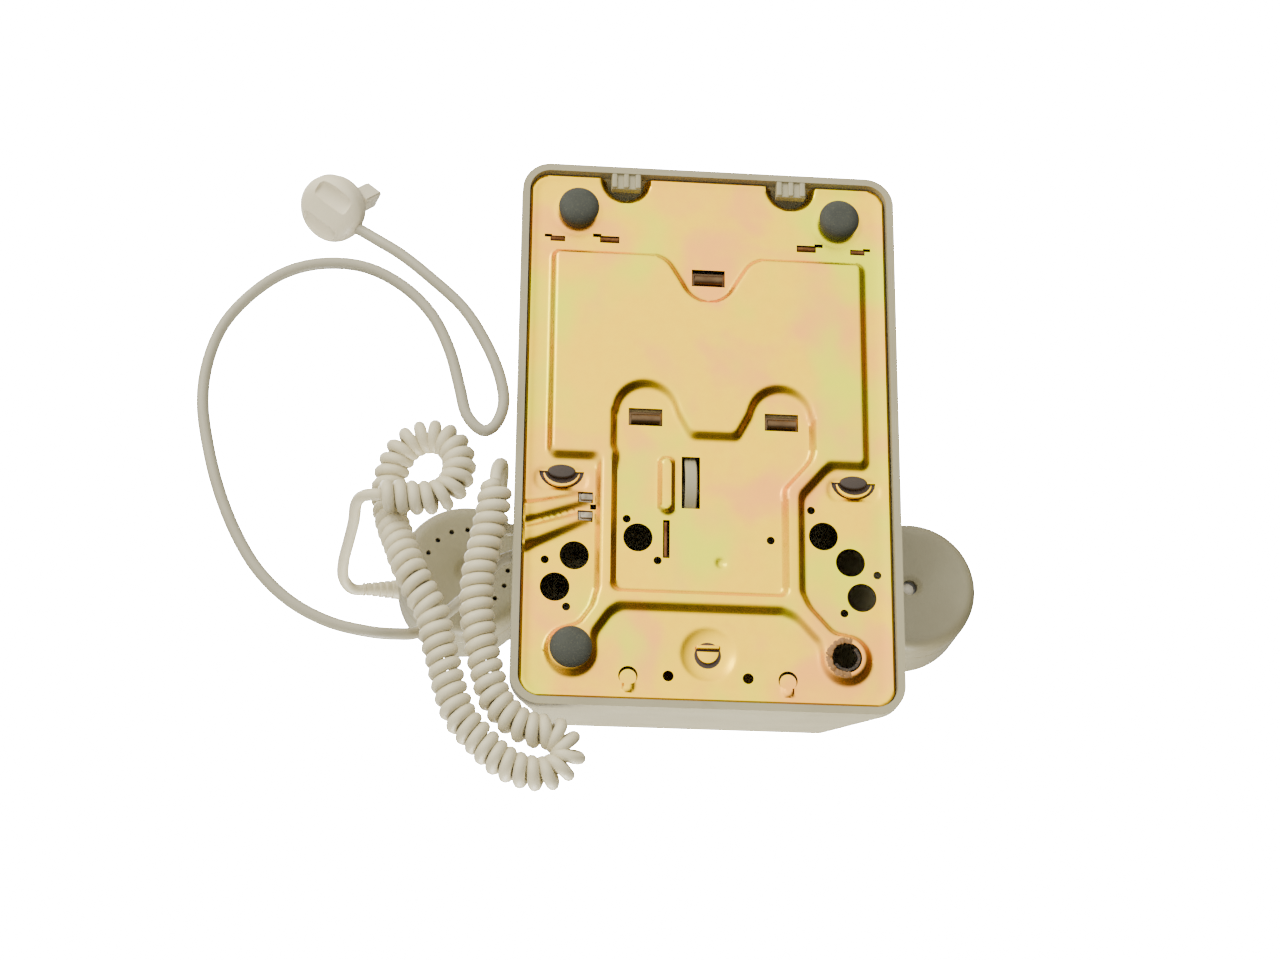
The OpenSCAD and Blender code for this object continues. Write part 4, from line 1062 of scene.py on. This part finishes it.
def make_clamp(y):
    """A folded clamp that grips a cord where its channel ends."""
    x = -45.5
    clamp = soften(block("clamp", mm(x - 2.6, y - 2.4, 8.5), mm(x + 2.7, y + 1.4, 13.7)), 0.5, 3)
    fold = soften(block("fold", mm(x - 1.6, y - 1.8, 7.4), mm(x + 3.0, y + 0.6, 9)), 0.4, 3)
    combine(clamp, fold, "UNION")
    for side in (-1, 1):
        low = mm(x + side * 2.1 - 0.5, y - 2.2, 13.2)
        combine(clamp, block("ear", low, low + mm(1, 4.4, 3)), "UNION")
    return smooth(clamp, 40)


clamps = join("folded_clamps", [make_clamp(27.9), make_clamp(34.9)])
fit(clamps, "root", clamp_paint, ["cord_clamps"])


def make_grommet(y):
    """The collar of a cord where it leaves the side of the body."""
    profile = [
        (2.3, 4.4), (2.3, 0.1), (2.7, -0.2), (3.1, -0.1), (3.35, 0.3), (3.35, 4.0), (4.4, 4.0),
        (4.4, 5.1), (2.6, 5.2), (2.3, 4.4),
    ]
    turn = moved(-half_w_at(EXIT_Z), y, EXIT_Z) @ Matrix.Rotation(math.pi / 2, 4, "Y")
    return turning("grommet", profile, turn, 48, 40)


grommets = join("grommets", [make_grommet(y) for y in EXIT_YS])
fit(grommets, "root", cord_paint, ["cord_grommets"])


def make_volume_wheel():
    """The smooth wheel that sets the volume; it turns about X."""
    near = [(1.56, -2.2), (3.2, -2.2), (3.6, -1.7), (11.4, -1.7), (11.9, -2.2), (12.6, -2.2), (13, -1.8)]
    far = [(r, -z) for r, z in reversed(near)]
    turn = moved(-6.5, 20, 18.7) @ Matrix.Rotation(math.pi / 2, 4, "Y")
    return turning("volume_disc", near + far + near[:1], turn, 96, 40)


fit(make_volume_wheel(), "volume", shell_paint, ["volume_wheel"])
coat(steel_paint, "volume_axle", "gong_screws", "hammer", "hammer_pivot", "lever_pin")
coat(bright_metal, "volume_bracket", "board_posts", "ringer_frame", "hook_bracket", "hook_lever")
coat(pale_part_paint, "capacitor", "terminal_block")
coat(part_paint, "induction_coil", "switch_block")
coat(board_paint, "circuit_board")
coat(copper_paint, "ringer_coils")
coat(brass_paint, "gongs")


# ---------- handset ----------

CUP_R = 26.2
FACE_Z = 66.0
CAP_Z = 78.0
CUP_TOP = 109.5
GRIP_Z = 100.3
GRIP_END = 76
GRIP_HALF_W = 13
GRIP_HALF_H = 9.9
GRIP_SQUARE = 0.86
SHELL_T = 2.6


def cup(name, side, inset):
    """The outside of a cup, or its hollow when there is an inset."""
    radius, top, dome = CUP_R - inset, CUP_TOP - inset, 12
    low = CAP_Z - (0.5 if inset else 0)
    profile = [(0, low), (radius, low)]
    for i in range(13):
        a = i / 12 * math.pi / 2
        profile.append((radius - dome + dome * math.cos(a), top - dome + dome * math.sin(a)))
    profile.append((0, top))
    return place(turned(name, profile), moved(side * CUP_X, HANDSET_Y))


def handle():
    """The grip: an oval that widens towards the cups, drawn out one stretch at a time."""
    stations = range(-GRIP_END, GRIP_END + 1, 4)

    def size_at(x):
        spread = max(0.0, abs(x) - 50) / 22
        grow = spread * spread * (3 - 2 * min(spread, 1.0))
        return GRIP_HALF_W + 5 * grow, GRIP_HALF_H - 0.9 * grow

    outline = []
    wide, tall = size_at(stations[0])
    for i in range(40):
        a = 2 * math.pi * i / 40
        across, up = [math.copysign(abs(c) ** GRIP_SQUARE, c) for c in (math.cos(a), math.sin(a))]
        outline.append(mm(stations[0], HANDSET_Y + wide * across, GRIP_Z + tall * up))
    piece = draw_line("handle", outline)
    take_all()
    bpy.ops.mesh.edge_face_add()
    for start, end in zip(stations, stations[1:]):
        old, new = size_at(start), size_at(end)
        bpy.ops.mesh.extrude_region_move(TRANSFORM_OT_translate={"value": mm(end - start, 0, 0)})
        bpy.ops.transform.resize(
            value=(1, new[0] / old[0], new[1] / old[1]), center_override=mm(end, HANDSET_Y, GRIP_Z)
        )
    close_up()
    return piece


def make_handset():
    """Two cups and the grip between them, blended where they meet, and hollow."""
    piece = cup("handset_moulding", -1, 0)
    combine(piece, cup("cup", 1, 0), "UNION")
    combine(piece, handle(), "UNION")
    modify(piece, "REMESH", mode="VOXEL", voxel_size=0.9 * MM, use_smooth_shade=True)
    modify(piece, "SMOOTH", factor=0.5, iterations=7)
    trim = block("trim", mm(-140, 0, CAP_Z - 5), mm(140, 80, CAP_Z + 0.1))
    combine(piece, trim)
    for side in (-1, 1):
        combine(piece, cup("hollow", side, SHELL_T))
    return smooth(piece, 40)


fit(make_handset(), "handset", shaded_handset_paint, ["handset_shell"])


def make_cap(name, side, holes):
    """A screwed cap with a dished face; its holes are cut by the given tools."""
    dish = [(0, 3.3), (2.4, 3.3), (3.4, 2.9), (4.3, 2.35), (5.4, 2.1)]
    lip = [(7.4, 0.3), (5.6, 0.05), (4, 0.02), (2.7, 0.35), (1.6, 1.1), (0.7, 2.3), (0.15, 4), (0, 6)]
    collar = CUP_R - SHELL_T - 0.25
    profile = [(r, FACE_Z + z) for r, z in dish] + [(CUP_R - r, FACE_Z + z) for r, z in lip] + [
        (CUP_R, CAP_Z - 0.5), (CUP_R - 0.45, CAP_Z), (collar, CAP_Z), (collar, CAP_Z + 5),
        (collar - 2.4, CAP_Z + 5), (collar - 2.4, FACE_Z + 5.4), (CUP_R - 6, FACE_Z + 2.6),
        (0, FACE_Z + 5.8),
    ]
    cap = turned(name, profile)
    combine(cap, join("holes", holes))
    return smooth(place(cap, moved(side * CUP_X, HANDSET_Y)), 32)


def hole_at(radius, turn, size):
    """A round hole through the face of a cap, in millimetres from its middle."""
    at = mm(radius * math.cos(turn), radius * math.sin(turn), FACE_Z + 3)
    return barrel("hole", at, size * MM, 12 * MM, sides=24)


ring_of_holes = [hole_at(16, i * math.pi / 8, 0.95) for i in range(16)]
mouthpiece = make_cap("mouthpiece_cap", -1, ring_of_holes)
fit(mouthpiece, "handset", shaded_handset_paint, ["mouth_cap"])
earpiece = make_cap("earpiece_cap", 1, [hole_at(0, 0, 3.0)])
fit(earpiece, "handset", shaded_handset_paint, ["ear_cap"])
dome = [(0, 4.6), (1.6, 4.7), (2.5, 5.3), (2.6, 6.2), (0, 6.2)]
dome = [(r, FACE_Z + z) for r, z in dome]
insert = turning("earpiece_insert", dome, moved(CUP_X - 0.6, HANDSET_Y + 0.4), 40, 40)
fit(insert, "handset", pale_part_paint)


def make_relief():
    """The tapered sleeve that guards the cord where it leaves the mouthpiece."""
    profile = [(1.3, -3.0), (4.0, -3.0), (4.0, 1.2)]
    for i in range(5):
        z = 2.0 + 2.5 * i
        r = 4.0 - 0.115 * z
        profile += [(r, z), (r, z + 1.5), (r - 0.5, z + 1.8), (r - 0.5, z + 2.2)]
    profile += [(2.9, 14.6), (2.4, 14.95), (0, 15.0)]
    away = relief_way.to_track_quat("Z", "Y").to_matrix().to_4x4()
    return turning("strain_relief", profile, Matrix.Translation(relief_foot) @ away, 48, 40)


fit(make_relief(), "handset", cord_paint, ["handset_relief"])
coat(capsule_paint, "transmitter", "receiver")


# ---------- cradle plunger ----------


def make_plunger():
    """The two pads that the handle presses, on one bar."""
    bar = soften(block("cradle_pads", mm(-49, 35.5, 57.3), mm(49, 40.5, 61.3)), 0.4, 2)
    for side in (-1, 1):
        x = side * CRADLE_X
        combine(bar, block("stem", mm(x - 3, 35.6, 60), mm(x + 3, 40.4, 82)), "UNION")
        pad = soften(block("pad", mm(x - 4, 34.5, 81), mm(x + 4, 41.5, 90)), 1.2, 4)
        combine(bar, pad, "UNION")
    return smooth(bar, 35)


fit(make_plunger(), "plunger", shell_paint, ["cradle_plunger"])


# ---------- dial, modelled on its own face ----------

WHEEL_R = 36.8
WHEEL_Z = 4.2
WHEEL_TOP = 6.4
HOLE_R = 6.4
HOLE_RING = 27.5
DIGIT_H = 8.5
FIRST_HOLE = math.radians(35)
HOLE_STEP = math.radians(30)
STOP_TURN = math.radians(-22)


def ring_place(i, height=0.0):
    """The middle of one of the ten places around the dial, at a height over its face."""
    a = FIRST_HOLE + HOLE_STEP * i
    return mm(HOLE_RING * math.cos(a), HOLE_RING * math.sin(a), height)


def make_wheel():
    """The finger wheel: a slightly domed disc with ten rounded holes."""
    profile = [
        (3.05, 2.9), (8, 2.9), (8, WHEEL_Z), (35.9, WHEEL_Z), (36.5, WHEEL_Z + 0.3),
        (WHEEL_R, WHEEL_Z + 0.9), (36.6, WHEEL_TOP - 0.4), (35.8, WHEEL_TOP), (34.6, WHEEL_TOP),
        (20.4, WHEEL_TOP - 0.1), (18, WHEEL_TOP), (3.05, WHEEL_TOP), (3.05, 2.9),
    ]
    wheel = turned("ten_hole_wheel", profile, 144)
    tools = [barrel("hole", ring_place(i, 5), HOLE_R * MM, 8 * MM) for i in range(10)]
    combine(wheel, join("holes", tools))
    edit(wheel)

    def on_rim(a, b):
        """An edge along the rim of a finger hole, on either face of the wheel."""
        for i in range(10):
            middle = ring_place(i)
            if all(abs((p - middle).to_2d().length - HOLE_R * MM) < 1e-5 for p in (a, b)):
                return abs(a.z - b.z) < 0.3 * MM
        return False

    choose_edges(wheel, on_rim)
    bpy.ops.mesh.bevel(offset=0.55 * MM, segments=4, clamp_overlap=True)
    leave()
    return smooth(place(wheel, at_dial), 35)


def make_digits():
    """The digits 1 to 0 on the ring below the wheel."""
    digits = []
    for i in range(10):
        bpy.ops.object.text_add(location=(0, 0, 0))
        writing = bpy.context.object
        writing.data.body = str((i + 1) % 10)
        writing.data.size = DIGIT_H * MM
        writing.data.align_x = "CENTER"
        writing.data.align_y = "CENTER"
        writing.data.extrude = 0.02 * MM
        bpy.ops.object.convert(target="MESH")
        digits.append(place(named("digit"), Matrix.Translation(ring_place(i, 2.5))))
    return place(join("dial_digits", digits), at_dial)


def make_number_ring():
    """The fixed ring below the wheel that carries the digits."""
    profile = [(20, 1.5), (39.2, 1.5), (39.2, 2.2), (38.8, 2.45), (20.4, 2.45), (20, 2.3), (20, 1.5)]
    return turning("number_ring", profile, at_dial, 128)


def make_centre():
    """The cap in the middle of the wheel, drawn as (radius, height above the wheel)."""
    rise = [
        (0, 0), (14.9, 0), (15, 0.3), (14.9, 0.8), (14.2, 1.3), (13.4, 1.3), (12.9, 1.1), (8, 1.45),
        (0, 1.7),
    ]
    return turning("centre_label_cap", [(r, WHEEL_TOP + z) for r, z in rise], at_dial)


def make_stop():
    """The finger stop: a bent steel tongue that reaches over the wheel."""
    top = WHEEL_TOP + 1.8
    profile = [(37.4, 2.5), (39.1, 2.5), (39.1, top - 0.8), (38.3, top), (24, top), (22, top - 0.4)]
    profile += [(22, top - 0.9), (24, top - 0.95), (37.4, top - 0.95)]
    corners = [mm(x, -2.8, z) for x, z in profile]
    stop = soften(prism("finger_tongue", corners, mm(0, 5.6, 0)), 0.3, 3, 25)
    return smooth(place(stop, at_dial @ Matrix.Rotation(STOP_TURN, 4, "Z")), 40)


def make_case():
    """The case of the dial with its flange on the face of the housing."""
    profile = [
        (3.06, -24), (32.4, -24), (33, -23.4), (33, 0), (38.9, 0), (39.5, 0.5), (39.5, 1.0),
        (39.0, 1.5), (31, 1.5), (31, -22), (6, -22), (6, -17), (3.06, -17), (3.06, -24),
    ]
    return turning("dial_cup", profile, at_dial, 128)


ink = matt("dial_ink", (42, 42, 40), (66, 64, 58), 0.5)
case_paint = matt("case_grey", (112, 111, 103), (88, 84, 74), 0.45)
fit(make_wheel(), "dial", dial_paint, ["finger_wheel"])
fit(make_centre(), "dial", dial_paint, ["centre_cap"])
fit(make_number_ring(), "root", dial_paint, ["number_plate"])
fit(make_digits(), "root", ink)
fit(make_stop(), "root", bright_metal, ["finger_stop"])
fit(make_case(), "root", case_paint, ["dial_case"])
coat(steel_paint, "dial_shaft", "governor_pinion", "return_spring")
coat(brass_paint, "dial_gear", "governor_bearing")
coat(part_paint, "pulse_contacts")


# ---------- plug, modelled with its contacts up ----------

PLUG_H = 12.0
SEAM_Z = 8.4
BLADE_X = 4.0
at_plug = (
    moved(-143.5, -86, 11.6)
    @ Matrix.Rotation(math.radians(36.9), 4, "Z")
    @ Matrix.Rotation(math.radians(50), 4, "X")
    @ moved(0, 0, -PLUG_H / 2)
)
blade_paint = metal("plug_blade_steel", (120, 120, 114), (80, 78, 70), 0.35, 2.0)


def make_plug_cover():
    """The round cover with a finger recess on each side of a rib."""
    profile = [
        (0, 0.05), (6.5, 0.2), (8.8, 0.7), (10.6, 1.6), (11.9, 2.8), (12.7, 4.1), (13, 5.4),
        (13, SEAM_Z - 0.4), (12.7, SEAM_Z), (0, SEAM_Z),
    ]
    cover = turned("plug_cover_moulding", profile)
    for side in (-1, 1):
        grip = barrel("grip", mm(0, side * 8.2, -2.4), 5.2 * MM, 15 * MM, ACROSS)
        combine(cover, soften(grip, 1.2, 4))
    return smooth(place(cover, at_plug), 35)


def make_plug_body():
    """The disc that carries the blades, with a slit for each."""
    top = PLUG_H
    profile = [(0, SEAM_Z), (11.8, SEAM_Z), (11.8, top - 0.8), (11.5, top - 0.3), (11.0, top), (0, top)]
    body = turned("plug_base", profile)
    for x in (-BLADE_X, BLADE_X):
        combine(body, block("slit", mm(x - 0.55, -0.05, top - 3), mm(x + 0.55, 6.05, top + 1)))
    return smooth(place(body, at_plug))


def make_blades():
    """Two flat blades with rounded tips and a small hole."""
    blades = []
    for x in (-BLADE_X, BLADE_X):
        blade = soften(block("blade", mm(x - 0.5, 0, PLUG_H - 3), mm(x + 0.5, 6, PLUG_H + 12)), 0.3, 3)
        combine(blade, barrel("eye", mm(x, 3, PLUG_H + 9), 1.1 * MM, 4 * MM, ACROSS, 24))
        blades.append(blade)
    return smooth(place(join("plug_contacts", blades), at_plug), 35)


def make_peg():
    """The square guide peg with grooved corners."""
    x, y, half = 5.5, -5.5, 3.75
    low = mm(x - half, y - half, PLUG_H)
    peg = soften(block("guide_peg", low, low + mm(2 * half, 2 * half, 11)), 0.7, 3)
    for corner_x in (x - half, x + half):
        for corner_y in (y - half, y + half):
            at = mm(corner_x, corner_y, PLUG_H + 6)
            combine(peg, barrel("groove", at, 0.8 * MM, 14 * MM, sides=20))
    return smooth(place(peg, at_plug), 35)


plug_pieces = [
    fit(make_plug_cover(), "root", plug_paint, ["plug_cover"]),
    fit(make_plug_body(), "root", plug_paint, ["plug_body"]),
    fit(make_blades(), "root", blade_paint, ["plug_blades"]),
    fit(make_peg(), "root", plug_paint, ["plug_peg"]),
]
length_of(line_path)


# ---------- floor, backdrop and light ----------


def one_sided(name, base, seen_from_below):
    """A pale matt surface that is only there when it is seen from one side."""
    paint = Paint(name, Roughness=0.9)
    paint.set("Base Color", base)
    side = paint.node("ShaderNodeNewGeometry", {}, {}).outputs["Backfacing"]
    clear = paint.node("ShaderNodeBsdfTransparent", {}, {}).outputs[0]
    plain = paint.surface.outputs[0]
    pair = (clear, plain) if seen_from_below else (plain, clear)
    mixed = paint.node("ShaderNodeMixShader", {}, {0: side, 1: pair[0], 2: pair[1]})
    paint.feed(paint.tree.nodes["Material Output"].inputs["Surface"], mixed.outputs[0])
    return paint


def sheet_at(name, height, size, paint, glow):
    """A level sheet of the set that glows and neither lights nor shades the phone."""
    bpy.ops.mesh.primitive_plane_add(size=size, location=(0, 0, height))
    piece = named(name)
    settle(piece)
    paint.set("Emission Color", (1.0, 1.0, 1.0, 1.0))
    paint.set("Emission Strength", glow)
    dress(piece, paint)
    piece.visible_diffuse = False
    piece.visible_glossy = False
    piece.visible_shadow = False


sheet_at("floor", -0.0002, 4.0, one_sided("floor_white", tone(232, 231, 228), False), 0.25)
sheet_at("backdrop", 0.114, 6.0, one_sided("backdrop_white", tone(246, 246, 245), True), 40.0)


def lamp(name, at, size, power, aim=(0, 0, 0.03)):
    """A soft round lamp, in metres and watts."""
    data = bpy.data.lights.new(name, "AREA")
    data.shape = "DISK"
    data.size = size
    data.energy = power
    light = bpy.data.objects.new(name, data)
    bpy.context.collection.objects.link(light)
    light.location = at
    light.visible_camera = False
    light.rotation_euler = (Vector(aim) - Vector(at)).to_track_quat("-Z", "Y").to_euler()


lamp("key_below", (-0.9, -0.75, -1.0), 0.7, 8)
lamp("rear_glow", (-0.02, 0.46, 0.16), 0.3, 4.5, (0, 0.1, 0.05))
lamp("key_above", (-0.7, -0.9, 1.3), 0.9, 18)


def studio_world():
    """A bright tent of light below and above, darker towards one side."""
    world = bpy.data.worlds.new("studio")
    world.use_nodes = True
    sky = Nodes(world.node_tree)
    way = sky.node("ShaderNodeTexCoord", {}, {}).outputs["Generated"]
    below, above = [
        sky.measure("DOT_PRODUCT", way, side).between(0.0, 0.9, 0.08, peak)
        for side, peak in (((-0.42, -0.4, -0.81), 2.7), ((-0.4, -0.45, 0.8), 1.2))
    ]
    background = sky.tree.nodes["Background"]
    sky.feed(background.inputs["Color"], (1.0, 0.99, 0.96, 1.0))
    sky.feed(background.inputs["Strength"], below.sum("MAXIMUM", below, above))
    bpy.context.scene.world = world


studio_world()
